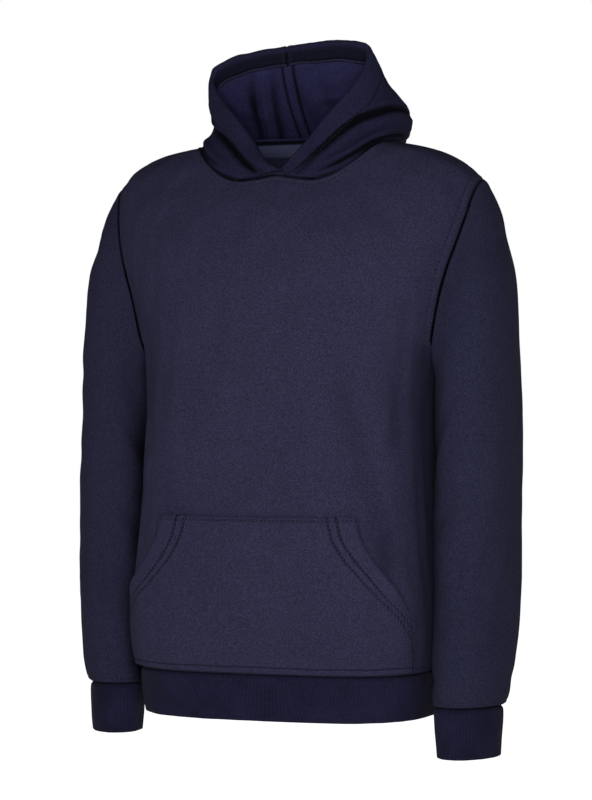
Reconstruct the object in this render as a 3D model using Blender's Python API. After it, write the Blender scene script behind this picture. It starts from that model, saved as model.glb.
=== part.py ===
"""Toddler hoodie, a pullover of brushed fleece for ages 3 to 4.

The garment stands filled out and hollow, as if worn by nobody. Every cut-and-sewn
piece is a thin wall of its own: front, back, two sleeves, the two halves of the hood
and of its lining, a kangaroo pocket, a waistband and two cuffs. Pieces lie a seam
gap apart. The front looks along -Y, the wearer's left is +X, and the origin is the
middle of the neck base, level with the top of the shoulders.
"""
import math

import bpy
import numpy as np

# Driving dimensions, in metres.
CM = 0.01
FLEECE = 0.0020
LINING = 0.0014
RIB = 0.0030
SEAM_GAP = 0.0003
POCKET_GAP = 0.0010

# The tables below are in centimetres.
# Torso sections: height, half width, depth in front, depth behind, squareness.
TORSO = (
    # z,     width, front, back, square
    (1.50,   6.80,  3.10,  4.70,  2.4),
    (0.45,   7.80,  3.60,  5.30,  2.4),
    (0.00,  10.40,  4.00,  5.70,  2.4),
    (-0.50, 11.80,  4.30,  6.00,  2.4),
    (-1.30, 13.40,  4.80,  6.50,  2.4),
    (-2.60, 14.90,  5.50,  7.20,  2.4),
    (-4.20, 14.95,  6.50,  7.90,  2.4),
    (-6.00, 14.90,  7.30,  8.40,  2.4),
    (-8.00, 14.60,  8.00,  8.80,  2.4),
    (-10.0, 14.00,  8.50,  9.00,  2.4),
    (-12.0, 13.20,  8.80,  9.10,  2.5),
    (-14.5, 12.35,  9.00,  9.10,  2.8),
    (-17.0, 11.50,  9.20,  9.00,  3.2),
    (-20.0, 11.20,  9.40,  8.80,  3.6),
    (-25.0, 11.20,  9.70,  8.60,  3.8),
    (-30.0, 11.45, 10.10,  8.70,  3.9),
    (-34.0, 11.75, 10.40,  9.00,  4.0),
    (-37.5, 11.80, 10.20,  9.20,  3.9),
    (-39.3, 11.70,  9.90,  9.15,  3.7),
    (-40.1, 11.55,  9.70,  9.00,  3.5),
)
# The first rows are the shoulder ridge; below its foot the waistband starts.
RIDGE_ROWS = 6
RIDGE_Y = 0.30
TORSO_FOOT = -40.1

# Neckline, from the middle of the panel to the neck point at the shoulder.
FRONT_NECK = (
    # x,    z
    (0.00, -2.30),
    (1.30, -2.50),
    (2.60, -2.70),
    (3.90, -2.50),
    (5.10, -1.90),
    (6.20, -1.05),
    (7.00, -0.25),
    (7.80,  0.45),
)
BACK_NECK = (
    (0.00,  1.05),
    (2.20,  1.03),
    (4.20,  0.98),
    (5.80,  0.88),
    (7.00,  0.70),
    (7.80,  0.45),
)
# Armhole edges, from the shoulder tip down to the underarm.
FRONT_ARMHOLE = (
    # z,     x
    (-2.60, 14.90),
    (-3.80, 14.60),
    (-5.80, 14.20),
    (-7.70, 13.70),
    (-9.60, 13.10),
    (-11.7, 12.50),
    (-14.4, 11.95),
    (-16.2, 11.60),
    (-17.0, 11.50),
)
BACK_ARMHOLE = (
    (-2.60, 14.90),
    (-3.80, 14.70),
    (-5.80, 14.40),
    (-7.70, 14.00),
    (-9.60, 13.40),
    (-11.7, 12.70),
    (-14.4, 12.05),
    (-16.2, 11.65),
    (-17.0, 11.50),
)
# Large soft folds of the torso cloth: a line in x and z, its half width and its
# depth, which is positive for a trough.
FRONT_FOLDS = (
    # x0,    z0,    x1,    z1,   width, depth
    (4.5,  -18.5,   9.6,  -31.0,  2.1,  0.55),
    (9.2,  -29.0,   9.9,  -37.0,  1.2,  0.35),
    (-9.8, -16.0,  -8.4,  -24.0,  1.3,  0.30),
    (10.6, -12.0,  10.2,  -19.0,  1.0,  0.25),
    (-6.0, -37.5,   6.0,  -38.0,  1.1, -0.12),
)
BACK_FOLDS = (
    (-5.5, -17.0,  -9.3,  -30.0,  2.0,  0.45),
    (6.0,  -19.0,   9.2,  -33.0,  1.9,  0.40),
    (0.5,  -30.0,  -1.0,  -38.0,  1.6,  0.25),
)

# Sleeve rings: the outer and the inner point of each, its middle and its half depth.
SLEEVE = (
    # x_out, z_out,  x_in,  z_in,   y_mid, depth, turn
    (14.90,  -2.60, 11.50, -17.00,  0.30,  4.60,  0.0),
    (15.85,  -4.30, 11.55, -17.50,  0.30,  4.75,  0.0),
    (16.70,  -7.30, 11.60, -18.20,  0.25,  4.85,  0.0),
    (17.25, -11.00, 11.60, -19.30,  0.10,  4.80,  0.0),
    (17.55, -15.50, 11.60, -21.20, -0.05,  4.70,  0.0),
    (17.70, -20.00, 11.60, -23.80, -0.25,  4.55,  2.0),
    (17.80, -25.00, 11.65, -27.30, -0.50,  4.45,  4.0),
    (17.80, -30.00, 11.85, -31.20, -0.90,  4.30,  7.0),
    (17.70, -34.50, 12.05, -35.20, -1.30,  4.10, 11.0),
    (17.40, -38.50, 12.10, -38.80, -1.75,  3.80, 15.0),
    (17.05, -41.20, 12.15, -41.30, -2.05,  3.45, 19.0),
    (16.65, -42.10, 12.30, -42.15, -2.15,  3.10, 21.0),
)
# The top rings take on the armhole's outline and the slope of the torso beside it.
SLEEVE_SQUARE = 2.3
ARMHOLE_FADE = 4.0
ARMHOLE_GAP = 0.20
ARMHOLE_EASE = 0.60
SLEEVE_DROP = {"left": -0.45, "right": 0.45}

# Cuff rings: height, half width, half depth.
CUFF = (
    # z,     width, depth
    (-42.19, 2.00,  3.05),
    (-42.60, 2.12,  3.15),
    (-44.00, 2.08,  3.05),
    (-46.00, 1.95,  2.90),
)
CUFF_X = 14.45
CUFF_Y = -2.20
CUFF_TURN = 22.0
CUFF_SQUARE = 2.2

# Waistband rings: height, half width, depth in front, depth behind, squareness.
WAISTBAND = (
    # z,     width, front, back, square
    (-40.15, 11.50, 9.65, 8.95, 3.5),
    (-40.60, 11.65, 9.75, 9.05, 3.4),
    (-42.00, 11.60, 9.70, 8.95, 3.3),
    (-43.60, 11.40, 9.55, 8.80, 3.2),
)

# Kangaroo pocket: half width at each height, from the top edge down.
POCKET = (
    # z,    width
    (-28.2,  7.50),
    (-29.4,  7.75),
    (-30.9,  8.40),
    (-32.4,  9.40),
    (-33.8, 10.40),
    (-35.0, 11.05),
    (-37.5, 11.15),
    (-39.8, 11.00),
)

# Hood rings, from the neck seam to the edge of the mouth. Each starts on the neck seam
# at x_front, passes the side at (width, y_side, z_side) and ends at the back middle.
HOOD = (
    # x_front, width, y_side, z_side, y_back, z_back, y_round, z_round, z_fall, y_fall
    (3.00,     7.80,   0.30,   0.45,   5.35,   1.05,  2.2,     1.40,    1.7,    1.2),
    (2.85,     8.05,   1.00,   0.95,   7.20,  -0.90,  2.2,     1.40,    1.7,    1.2),
    (2.65,     8.10,   1.60,   1.60,   9.30,  -4.00,  2.1,     1.40,    1.7,    1.2),
    (2.45,     7.90,   1.70,   2.30,  10.45,  -2.10,  2.0,     1.40,    1.7,    1.2),
    (2.25,     7.35,   1.20,   2.90,   9.00,   0.70,  1.9,     1.40,    1.6,    1.1),
    (1.95,     7.15,   0.40,   3.60,   5.90,   3.00,  1.8,     1.38,    1.4,    0.95),
    (1.50,     6.90,  -0.60,   4.30,   1.90,   5.40,  1.6,     1.36,    1.0,    0.70),
    (0.60,     6.75,  -1.50,   5.30,  -0.90,   7.30,  1.5,     1.35,    0.62,   0.60),
    (-0.35,    6.30,  -2.00,   6.00,  -1.60,   7.50,  1.4,     1.33,    0.55,   0.60),
)
HOOD_BACK_SWEEP = 0.80
NECK_GAP = 0.09
NECK_FADE = 0.70
ROLL_CLEARANCE = 0.45
ROLL_START = 9.0
ROLL_RISE = 0.06
HOOD_SMOOTHING = 4
LIFT_BELOW = 1.2
NORMAL_SMOOTHING = 5
HOOD_LEAN = 0.10
HOOD_LAP = 0.60
HOOD_LAP_RISE = 0.25
HOOD_LAP_REACH = 1.6
FACING_DEPTH = 0.0008
FACING_START = 0.83

# How much closer the panels' rows lie towards the shoulders, the share of the height
# where their columns start to lean to the neckline, and how far above the underarm the
# side seam's edge still meets the other panel squarely.
PANEL_CROWDING = 1.6
PANEL_LEAN_START = 0.35
SIDE_SEAM_EASE = 0.5

# Mesh steps.
FRONT_STEPS = (24, 20)
BACK_STEPS = (20, 16)
SLEEVE_STEPS = (20, 16)
HOOD_LEVELS = 60
HOOD_STEPS = (18, 15)
POCKET_STEPS = (18, 8)
WAISTBAND_STEPS = 44
CUFF_STEPS = 20


def curve_through(knots, values, at):
    """Read a smooth curve that passes through every table value."""
    knots = np.asarray(knots, float)
    values = np.asarray(values, float)
    at = np.clip(np.asarray(at, float), min(knots[0], knots[-1]), max(knots[0], knots[-1]))
    if knots[0] > knots[-1]:
        knots = knots[::-1]
        values = values[::-1]
    rise = (np.diff(values, axis=0).T / np.diff(knots)).T
    slopes = np.concatenate([rise[:1], np.zeros_like(rise[1:]), rise[-1:]])
    total = rise[1:] + rise[:-1]
    same_way = rise[1:] * rise[:-1] > 0
    slopes[1:-1] = np.where(same_way, 2 * rise[1:] * rise[:-1] / np.where(same_way, total, 1.0), 0.0)
    left = np.clip(np.searchsorted(knots, at) - 1, 0, len(knots) - 2)
    span = knots[left + 1] - knots[left]
    f = (at - knots[left]) / span
    return (
        (2 * f**3 - 3 * f**2 + 1) * values[left]
        + (f**3 - 2 * f**2 + f) * span * slopes[left]
        + (3 * f**2 - 2 * f**3) * values[left + 1]
        + (f**3 - f**2) * span * slopes[left + 1]
    )


def table_curve(table, column, at):
    """Read one column of a table at the given places along its first column."""
    rows = np.array(table, float)
    return curve_through(rows[:, 0], rows[:, column], at)


def power(base, exponent):
    """A signed power, so that a section keeps its left and right halves."""
    return np.sign(base) * np.abs(base) ** exponent


def fold_depth(folds, x, z):
    """How far the folds draw the cloth in at a place on the panel."""
    depth = np.zeros_like(x)
    for x0, z0, x1, z1, width, deep in folds:
        length = math.hypot(x1 - x0, z1 - z0)
        along = ((x - x0) * (x1 - x0) + (z - z0) * (z1 - z0)) / length
        across = ((x - x0) * (z1 - z0) - (z - z0) * (x1 - x0)) / length
        past = np.maximum(np.abs(along - length / 2) - length / 2, 0.0)
        depth = depth + deep * np.exp(-(across**2 + past**2 * 0.6) / width**2)
    return depth


def torso_point(x, z, face):
    """A point of the torso's outer surface: face is -1 in front and +1 behind."""
    width = table_curve(TORSO, 1, z)
    depth = table_curve(TORSO, 2 if face < 0 else 3, z)
    square = table_curve(TORSO, 4, z)
    share = np.clip(np.abs(x) / width, 0.0, 1.0)
    bow = (1.0 - share**square) ** (1.0 / square)
    folds = FRONT_FOLDS if face < 0 else BACK_FOLDS
    y = RIDGE_Y + face * (SEAM_GAP / CM / 2 + depth * bow - fold_depth(folds, x, z) * bow)
    return np.stack([x, y, z], axis=-1)


def torso_normal(x, z, face):
    """The direction that points straight out of the torso at a place on a panel."""
    step = 0.03
    slope_x = torso_point(x + step, z, face)[..., 1] - torso_point(x - step, z, face)[..., 1]
    slope_z = torso_point(x, z + step, face)[..., 1] - torso_point(x, z - step, face)[..., 1]
    ones = np.full_like(slope_x, 2.0 * step)
    normal = face * np.stack([-slope_x, ones, -slope_z], axis=-1)
    return normal / np.linalg.norm(normal, axis=-1, keepdims=True)


def lift_off_torso(points, clearance):
    """Move hood points that lie too near the shoulders straight out from them."""
    for face in (-1, 1, -1, 1):
        x, y, z = points[..., 0], points[..., 1], points[..., 2]
        on_this_face = (face * (y - RIDGE_Y) > 0) & (np.abs(x) < table_curve(TORSO, 1, z))
        below_neck = z < LIFT_BELOW
        normal = torso_normal(x, z, face)
        height = ((points - torso_point(x, z, face)) * normal).sum(axis=-1)
        push = np.where(on_this_face & below_neck, np.maximum(clearance - height, 0.0), 0.0)
        points = points + normal * push[..., None]
    return points


def grid_normals(points, ring=False):
    """Unit normals of a grid of points, whose columns may close into a ring."""
    if ring:
        across = np.roll(points, -1, axis=1) - np.roll(points, 1, axis=1)
    else:
        across = np.gradient(points, axis=1)
    along = np.gradient(points, axis=0)
    normal = np.cross(across, along)
    return normal / np.linalg.norm(normal, axis=-1, keepdims=True)


def wall(name, outer, inner, material, ring=False):
    """Close an outer and an inner grid of points into one solid wall."""
    rows, columns = outer.shape[:2]
    points = np.concatenate([outer.reshape(-1, 3), inner.reshape(-1, 3)])
    inside = rows * columns
    faces = []

    def corner(layer, row, column):
        return layer * inside + row * columns + column % columns

    last = columns if ring else columns - 1
    for row in range(rows - 1):
        for column in range(last):
            quad = [(row, column), (row, column + 1), (row + 1, column + 1), (row + 1, column)]
            faces.append([corner(0, *place) for place in quad])
            faces.append([corner(1, *quad[number]) for number in (0, 3, 2, 1)])
    for column in range(last):
        low = [corner(0, 0, column), corner(1, 0, column)]
        low += [corner(1, 0, column + 1), corner(0, 0, column + 1)]
        faces.append(low)
        top = [corner(0, rows - 1, column + 1), corner(1, rows - 1, column + 1)]
        top += [corner(1, rows - 1, column), corner(0, rows - 1, column)]
        faces.append(top)
    if not ring:
        for row in range(rows - 1):
            near = [corner(0, row + 1, 0), corner(1, row + 1, 0)]
            near += [corner(1, row, 0), corner(0, row, 0)]
            faces.append(near)
            far = [corner(0, row, last), corner(1, row, last)]
            far += [corner(1, row + 1, last), corner(0, row + 1, last)]
            faces.append(far)
    mesh = bpy.data.meshes.new(name)
    mesh.from_pydata((points * CM).tolist(), [], faces)
    mesh.validate()
    mesh.shade_smooth()
    mesh.set_sharp_from_angle(angle=math.radians(50))
    mesh.materials.append(material)
    piece = bpy.data.objects.new(name, mesh)
    bpy.context.collection.objects.link(piece)
    return piece


def cloth(name, colour, roughness):
    """A Principled material for one piece."""
    material = bpy.data.materials.new(name)
    material.use_nodes = True
    shader = material.node_tree.nodes["Principled BSDF"]
    shader.inputs["Base Color"].default_value = (*colour, 1.0)
    shader.inputs["Roughness"].default_value = roughness
    shader.inputs["Metallic"].default_value = 0.0
    return material


NAVY = (0.026, 0.027, 0.058)
DARK_NAVY = (0.014, 0.014, 0.036)


def panel(name, face, neck, armhole, steps):
    """The front or back panel: rows run from the waistband seam up to the top edge."""
    columns, rows = steps
    shoulder = columns // 5
    tip_z, tip_x = armhole[0]
    across_neck, _, neck_z = neckline(neck, face, columns).T
    along_shoulder = np.linspace(neck[-1][0], tip_x, shoulder + 1)[1:]
    ridge = np.array(TORSO, float)[:RIDGE_ROWS]
    ridge_z = curve_through(ridge[:, 1], ridge[:, 0], along_shoulder)
    top_x = np.concatenate([across_neck, along_shoulder])
    top_z = np.concatenate([neck_z, ridge_z])
    top_x = np.concatenate([-top_x[:0:-1], top_x])
    top_z = np.concatenate([top_z[:0:-1], top_z])
    place = np.linspace(-1.0, 1.0, columns + 1)
    grid = np.zeros((rows + 1, columns + 1, 3))
    underarm = armhole[-1][0]
    shares = 1.0 - np.linspace(1.0, 0.0, rows + 1) ** PANEL_CROWDING
    for row, share in enumerate(shares):
        edge_z = TORSO_FOOT + (tip_z - TORSO_FOOT) * share
        if edge_z <= underarm:
            edge_x = float(table_curve(TORSO, 1, edge_z))
        else:
            edge_x = float(table_curve(armhole, 1, edge_z))
        square = float(table_curve(TORSO, 4, edge_z))
        low_x = edge_x * power(np.sin(place * math.pi / 2), 2.0 / square)
        high_x = edge_x * top_x / tip_x
        blend = max(0.0, (share - PANEL_LEAN_START) / (1.0 - PANEL_LEAN_START))
        blend = blend * blend * (3.0 - 2.0 * blend)
        x = low_x * (1.0 - blend) + high_x * blend
        z = TORSO_FOOT + (top_z - TORSO_FOOT) * share
        grid[row] = torso_point(x, z, face)
    for seam in (grid[-1, :shoulder + 1], grid[-1, -shoulder - 1:]):
        seam[:, 1] = RIDGE_Y + face * SEAM_GAP / CM / 2
    normals = grid_normals(grid) * (-1.0 if face > 0 else 1.0)
    sewn_to_other_panel = np.zeros((rows + 1, columns + 1), bool)
    edge_heights = grid[:, 0, 2]
    sewn_to_other_panel[edge_heights <= underarm + SIDE_SEAM_EASE, 0] = True
    sewn_to_other_panel[edge_heights <= underarm + SIDE_SEAM_EASE, -1] = True
    sewn_to_other_panel[-1, :shoulder + 1] = True
    sewn_to_other_panel[-1, -shoulder - 1:] = True
    normals[sewn_to_other_panel, 1] = 0.0
    normals /= np.linalg.norm(normals, axis=-1, keepdims=True)
    inner = grid - normals * (FLEECE / CM)
    if face > 0:
        grid = grid[:, ::-1]
        inner = inner[:, ::-1]
    return wall(name, grid, inner, cloth(name + "_fleece", NAVY, 0.9))


def armhole_loop(turn, side):
    """The armhole's edge, read at each turn from the tip down the front and back up."""
    tip_z = FRONT_ARMHOLE[0][0]
    low_z = FRONT_ARMHOLE[-1][0]
    z = (tip_z + low_z) / 2 + (tip_z - low_z) / 2 * np.cos(turn)
    front = np.sin(turn) >= 0
    front_x = table_curve(FRONT_ARMHOLE, 1, z)
    back_x = table_curve(BACK_ARMHOLE, 1, z)
    front_points = torso_point(side * front_x, z, -1)
    back_points = torso_point(side * back_x, z, 1)
    front_out = torso_normal(side * front_x, z, -1)
    back_out = torso_normal(side * back_x, z, 1)
    points = np.where(front[:, None], front_points, back_points)
    outward = np.where(front[:, None], front_out, back_out)
    return points, outward


def sleeve(name, side):
    """A set-in sleeve: rings from the armhole down to the cuff seam."""
    columns, rows = SLEEVE_STEPS
    turn = np.arange(columns) * 2 * math.pi / columns
    table = np.array(SLEEVE, float)
    knots = np.arange(len(table))
    drop = SLEEVE_DROP["left" if side > 0 else "right"]
    armhole, outward = armhole_loop(turn, side)
    rings = []
    for place in np.linspace(0.0, len(table) - 1.0, rows + 1):
        x_out, z_out, x_in, z_in, y_mid, depth, twist = curve_through(knots, table, place)
        reach = power(np.cos(turn), 2.0 / SLEEVE_SQUARE)
        forward = power(np.sin(turn), 2.0 / SLEEVE_SQUARE)
        x, y = turned((x_out - x_in) / 2 * reach, -depth * forward, -twist)
        x = x + (x_out + x_in) / 2
        y = y + y_mid
        z = (z_out + z_in) / 2 + (z_out - z_in) / 2 * reach
        z = z + drop * place / (len(table) - 1.0)
        rings.append(np.stack([side * x, y, z], axis=-1))
    rings = np.array(rings)
    difference = armhole - rings[0]
    for row in range(rows + 1):
        fade = max(0.0, 1.0 - row / ARMHOLE_FADE)
        rings[row] += difference * fade * fade * (3.0 - 2.0 * fade)
    rings[0, :, 0] += side * ARMHOLE_GAP
    normals = grid_normals(rings, ring=True) * side
    like_torso = np.clip((ARMHOLE_EASE + np.cos(turn)) / (2.0 * ARMHOLE_EASE), 0.0, 1.0)[:, None]
    normals[0] = normals[0] * (1.0 - like_torso) + outward * like_torso
    normals[0] /= np.linalg.norm(normals[0], axis=-1, keepdims=True)
    inner = rings - normals * (FLEECE / CM)
    if side > 0:
        rings = rings[:, ::-1]
        inner = inner[:, ::-1]
    return wall(name, rings[::-1], inner[::-1], cloth(name + "_fleece", NAVY, 0.9), ring=True)


def oval_ring(width, front, back, square, steps):
    """One closed section of a band, seen from above, turning from +X to the back."""
    turn = np.arange(steps) * 2 * math.pi / steps
    x = width * power(np.cos(turn), 2.0 / square)
    reach = power(np.sin(turn), 2.0 / square)
    y = np.where(reach > 0, reach * back, reach * front)
    return x, y


def turned(x, y, degrees):
    """Turn a section about its own middle, seen from above."""
    angle = math.radians(degrees)
    return x * math.cos(angle) - y * math.sin(angle), x * math.sin(angle) + y * math.cos(angle)


def band(name, rows, centre, steps, turn):
    """A tube of folded rib, through its rings from the top seam down."""
    outer = []
    inner = []
    for height, width, front, back, square in rows:
        x, y = turned(*oval_ring(width, front, back, square, steps), turn)
        outer.append(np.stack([x + centre[0], y + centre[1], np.full(steps, height)], -1))
        thin = RIB / CM
        section = oval_ring(width - thin, front - thin, back - thin, square, steps)
        x, y = turned(*section, turn)
        inner.append(np.stack([x + centre[0], y + centre[1], np.full(steps, height)], -1))
    outer = np.array(outer)[::-1]
    inner = np.array(inner)[::-1]
    return wall(name, outer, inner, cloth(name + "_rib", DARK_NAVY, 0.85), ring=True)


def pocket():
    """The kangaroo pocket: the front panel's own surface, moved out by the seam gap."""
    columns, rows = POCKET_STEPS
    table = np.array(POCKET, float)
    heights = np.linspace(table[-1, 0], table[0, 0], rows + 1)
    half = curve_through(table[:, 0], table[:, 1], heights)
    place = np.linspace(-1.0, 1.0, columns + 1)
    grid = np.zeros((rows + 1, columns + 1, 3))
    for row in range(rows + 1):
        square = float(table_curve(TORSO, 4, heights[row]))
        width = float(table_curve(TORSO, 1, heights[row]))
        edge = math.asin(min(1.0, half[row] / width) ** (square / 2.0))
        x = width * power(np.sin(place * edge), 2.0 / square)
        grid[row] = torso_point(x, np.full(columns + 1, heights[row]), -1)
    normals = grid_normals(grid)
    under = grid + normals * (POCKET_GAP / CM)
    outer = grid + normals * ((POCKET_GAP + FLEECE) / CM)
    return wall("pocket", outer, under, cloth("pocket_fleece", NAVY, 0.9))


def rest_of(sweep, roundness):
    """The other side of a rounded corner: 1 where the sweep is 0, and 0 where it is 1."""
    return np.clip(1.0 - sweep**roundness, 0.0, 1.0) ** (1.0 / roundness)


def neckline(neck, face, columns):
    """Half of a panel's neckline, from the middle to the shoulder seam."""
    steps = columns // 2 - columns // 5
    x = neck[-1][0] * np.sin(np.linspace(0.0, math.pi / 2, steps + 1))
    return torso_point(x, table_curve(neck, 1, x), face)


def neck_seam(x, behind):
    """Points just above the neckline edge of the front or the back panel."""
    points = np.zeros((len(x), 3))
    points[:, 0] = x
    front = neckline(FRONT_NECK, -1, FRONT_STEPS[0])
    back = neckline(BACK_NECK, 1, BACK_STEPS[0])
    for axis in (1, 2):
        in_front = np.interp(np.abs(x), front[:, 0], front[:, axis])
        at_back = np.interp(np.abs(x), back[:, 0], back[:, axis])
        points[:, axis] = np.where(behind, at_back, in_front)
    points[:, 2] += NECK_GAP
    return points


def evenly_spaced(grid, rows):
    """The same surface with its rows at equal steps along every column."""
    spaced = np.zeros((rows + 1, *grid.shape[1:]))
    for column in range(grid.shape[1]):
        steps = np.linalg.norm(np.diff(grid[:, column], axis=0), axis=-1)
        run = np.concatenate([[0.0], np.cumsum(steps)])
        wanted = np.linspace(0.0, run[-1], rows + 1)
        for axis in range(3):
            spaced[:, column, axis] = np.interp(wanted, run, grid[:, column, axis])
    return spaced


def hood_grid(side):
    """The outer surface of one hood half: rows from the neck seam up to the mouth."""
    columns, rows = HOOD_STEPS
    table = np.array(HOOD, float)
    knots = np.arange(len(table))
    turn = np.linspace(0.0, math.pi, columns + 1)
    turn[-1] = math.pi - 1e-9
    ahead = turn <= math.pi / 2
    levels = np.linspace(0.0, 1.0, HOOD_LEVELS + 1)
    grid = np.zeros((len(levels), columns + 1, 3))
    for row, level in enumerate(levels):
        values = curve_through(knots, table, level * knots[-1])
        x_front, width, y_side, z_side, y_back, z_back = values[:6]
        y_round, z_round, z_fall, y_fall = values[6:]
        sweep = np.sin(turn) ** np.where(ahead, 1.0, HOOD_BACK_SWEEP)
        past = np.abs(np.cos(turn))
        y_rest = np.where(ahead, rest_of(sweep, y_round), past**y_fall)
        z_rest = np.where(ahead, rest_of(sweep, z_round), past**z_fall)
        start = neck_seam(np.array([abs(x_front)]), np.array([False]))[0]
        end_y = np.where(ahead, start[1], y_back)
        end_z = np.where(ahead, start[2], z_back)
        x = np.where(ahead, x_front + (width - x_front) * sweep, width * sweep)
        y = y_side + (end_y - y_side) * y_rest
        z = z_side + (end_z - z_side) * z_rest
        grid[row] = np.stack([x, y, z], axis=-1)
    difference = neck_seam(grid[0, :, 0], ~ahead) - grid[0]
    from_front = np.arange(columns + 1) / columns
    for row, level in enumerate(levels):
        fade = max(0.0, 1.0 - level / NECK_FADE)
        grid[row] += difference * fade * fade * (3.0 - 2.0 * fade)
        clearance = ROLL_CLEARANCE * np.clip(from_front * ROLL_START, 0.0, 1.0)
        clearance = clearance * min(1.0, level / ROLL_RISE)
        if row:
            grid[row] = lift_off_torso(grid[row], clearance)
    for row, level in enumerate(levels):
        rest = np.where(ahead, np.abs(np.cos(turn)), 0.0)
        grid[row, :, 2] += HOOD_LEAN * side * grid[row, :, 0] * level * (1.0 - rest)
        if side < 0:
            lap = np.exp(-((grid[row, :, 0] / HOOD_LAP_REACH) ** 2)) * ahead * level
            grid[row, :, 1] -= HOOD_LAP * lap
            grid[row, :, 2] += HOOD_LAP_RISE * lap
    grid = evenly_spaced(grid, rows)
    for _ in range(HOOD_SMOOTHING):
        beside = grid[1:-1, :-2] + grid[1:-1, 2:] + grid[:-2, 1:-1] + grid[2:, 1:-1]
        grid[1:-1, 1:-1] = grid[1:-1, 1:-1] / 2 + beside / 8
        grid[1:-1, -1] = grid[1:-1, -1] / 2 + (grid[:-2, -1] + grid[2:, -1]) / 4
    grid[:, -1, 0] = SEAM_GAP / CM / 2
    grid[:, :, 0] *= side
    return grid


def hood_half(side):
    """One half of the hood and the same half of its lining."""
    name = "left" if side > 0 else "right"
    grid = hood_grid(side)
    normals = grid_normals(grid) * side
    normals[0, 0] = normals[1, 1]
    for _ in range(NORMAL_SMOOTHING):
        wide = np.pad(normals, ((1, 1), (1, 1), (0, 0)), mode="edge")
        beside = wide[1:-1, :-2] + wide[1:-1, 2:] + wide[:-2, 1:-1] + wide[2:, 1:-1]
        normals = normals + beside / 2
        normals /= np.linalg.norm(normals, axis=-1, keepdims=True)
    normals[:, -1, 0] = 0.0
    normals /= np.linalg.norm(normals, axis=-1, keepdims=True)
    inner = grid - normals * (FLEECE / CM)
    under = inner - normals * (SEAM_GAP / CM)
    levels = np.linspace(0.0, 1.0, len(grid))[:, None, None]
    raised = (LINING + np.where(levels >= FACING_START, FACING_DEPTH, 0.0)) / CM
    inside = under - normals * raised
    layers = [grid, inner, under, inside]
    if side < 0:
        layers = [layer[:, ::-1] for layer in layers]
    wall("hood_" + name, layers[0], layers[1], cloth("hood_fleece_" + name, NAVY, 0.9))
    colour = cloth("hood_lining_fleece_" + name, DARK_NAVY, 0.9)
    wall("hood_lining_" + name, layers[2], layers[3], colour)


for old in list(bpy.data.objects):
    bpy.data.objects.remove(old, do_unlink=True)

panel("front", -1, FRONT_NECK, FRONT_ARMHOLE, FRONT_STEPS)
panel("back", 1, BACK_NECK, BACK_ARMHOLE, BACK_STEPS)
for label, side in (("left", 1), ("right", -1)):
    sleeve("sleeve_" + label, side)
    rows = []
    for height, half_width, half_depth in CUFF:
        rows.append((height + SLEEVE_DROP[label], half_width, half_depth, half_depth, CUFF_SQUARE))
    band("cuff_" + label, rows, (side * CUFF_X, CUFF_Y), CUFF_STEPS, -side * CUFF_TURN)
    hood_half(side)
pocket()
band("waistband", WAISTBAND, (0.0, RIDGE_Y), WAISTBAND_STEPS, 0.0)
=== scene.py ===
import math

import bpy
import numpy as np
from mathutils import Matrix, Vector


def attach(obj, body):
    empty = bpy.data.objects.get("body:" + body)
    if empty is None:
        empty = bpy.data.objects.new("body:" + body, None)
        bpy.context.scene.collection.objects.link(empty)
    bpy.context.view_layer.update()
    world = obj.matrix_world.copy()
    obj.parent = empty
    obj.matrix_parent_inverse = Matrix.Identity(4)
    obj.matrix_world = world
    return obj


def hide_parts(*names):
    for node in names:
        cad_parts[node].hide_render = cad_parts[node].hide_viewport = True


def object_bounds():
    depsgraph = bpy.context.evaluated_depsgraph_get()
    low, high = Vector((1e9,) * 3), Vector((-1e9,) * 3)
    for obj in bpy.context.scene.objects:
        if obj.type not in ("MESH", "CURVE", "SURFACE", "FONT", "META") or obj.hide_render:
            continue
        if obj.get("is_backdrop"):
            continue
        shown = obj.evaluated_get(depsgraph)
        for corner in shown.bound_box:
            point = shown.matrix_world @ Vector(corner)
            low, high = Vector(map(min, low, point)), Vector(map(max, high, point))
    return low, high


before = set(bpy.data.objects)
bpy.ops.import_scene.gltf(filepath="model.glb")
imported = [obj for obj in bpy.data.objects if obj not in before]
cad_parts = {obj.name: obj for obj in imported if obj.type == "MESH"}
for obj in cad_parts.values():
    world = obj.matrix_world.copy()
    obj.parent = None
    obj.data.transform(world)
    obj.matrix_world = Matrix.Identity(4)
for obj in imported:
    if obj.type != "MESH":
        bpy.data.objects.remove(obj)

cad_box = [list(corner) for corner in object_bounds()]

# ---------------------------------------------------------------------------
# Studio. A white sweep under and behind the garment, one large soft light in front, a
# much weaker one on each side, and a camera level with the middle of the body.
# ---------------------------------------------------------------------------
CAMERA_AZIMUTH = 20.0
CAMERA_DISTANCE = 2.2
CAMERA_HEIGHT = -0.18
CAMERA_LENS = 126.72
CAMERA_SHIFT = (-0.00375, -0.0245)
FLOOR_HEIGHT = -0.85


def linear(hex_colour):
    """An sRGB hex value as a linear colour."""
    channels = [int(hex_colour[place:place + 2], 16) / 255.0 for place in (1, 3, 5)]
    light = [c / 12.92 if c <= 0.04045 else ((c + 0.055) / 1.055) ** 2.4 for c in channels]
    return (*light, 1.0)


def node(tree, kind, settings=(), links=()):
    """Add one shader node, with its settings by name and its inputs by value or socket."""
    made = tree.nodes.new(kind)
    for key, value in settings:
        setattr(made, key, value)
    for key, value in links:
        if isinstance(value, bpy.types.NodeSocket):
            tree.links.new(value, made.inputs[key])
        else:
            made.inputs[key].default_value = value
    return made


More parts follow.
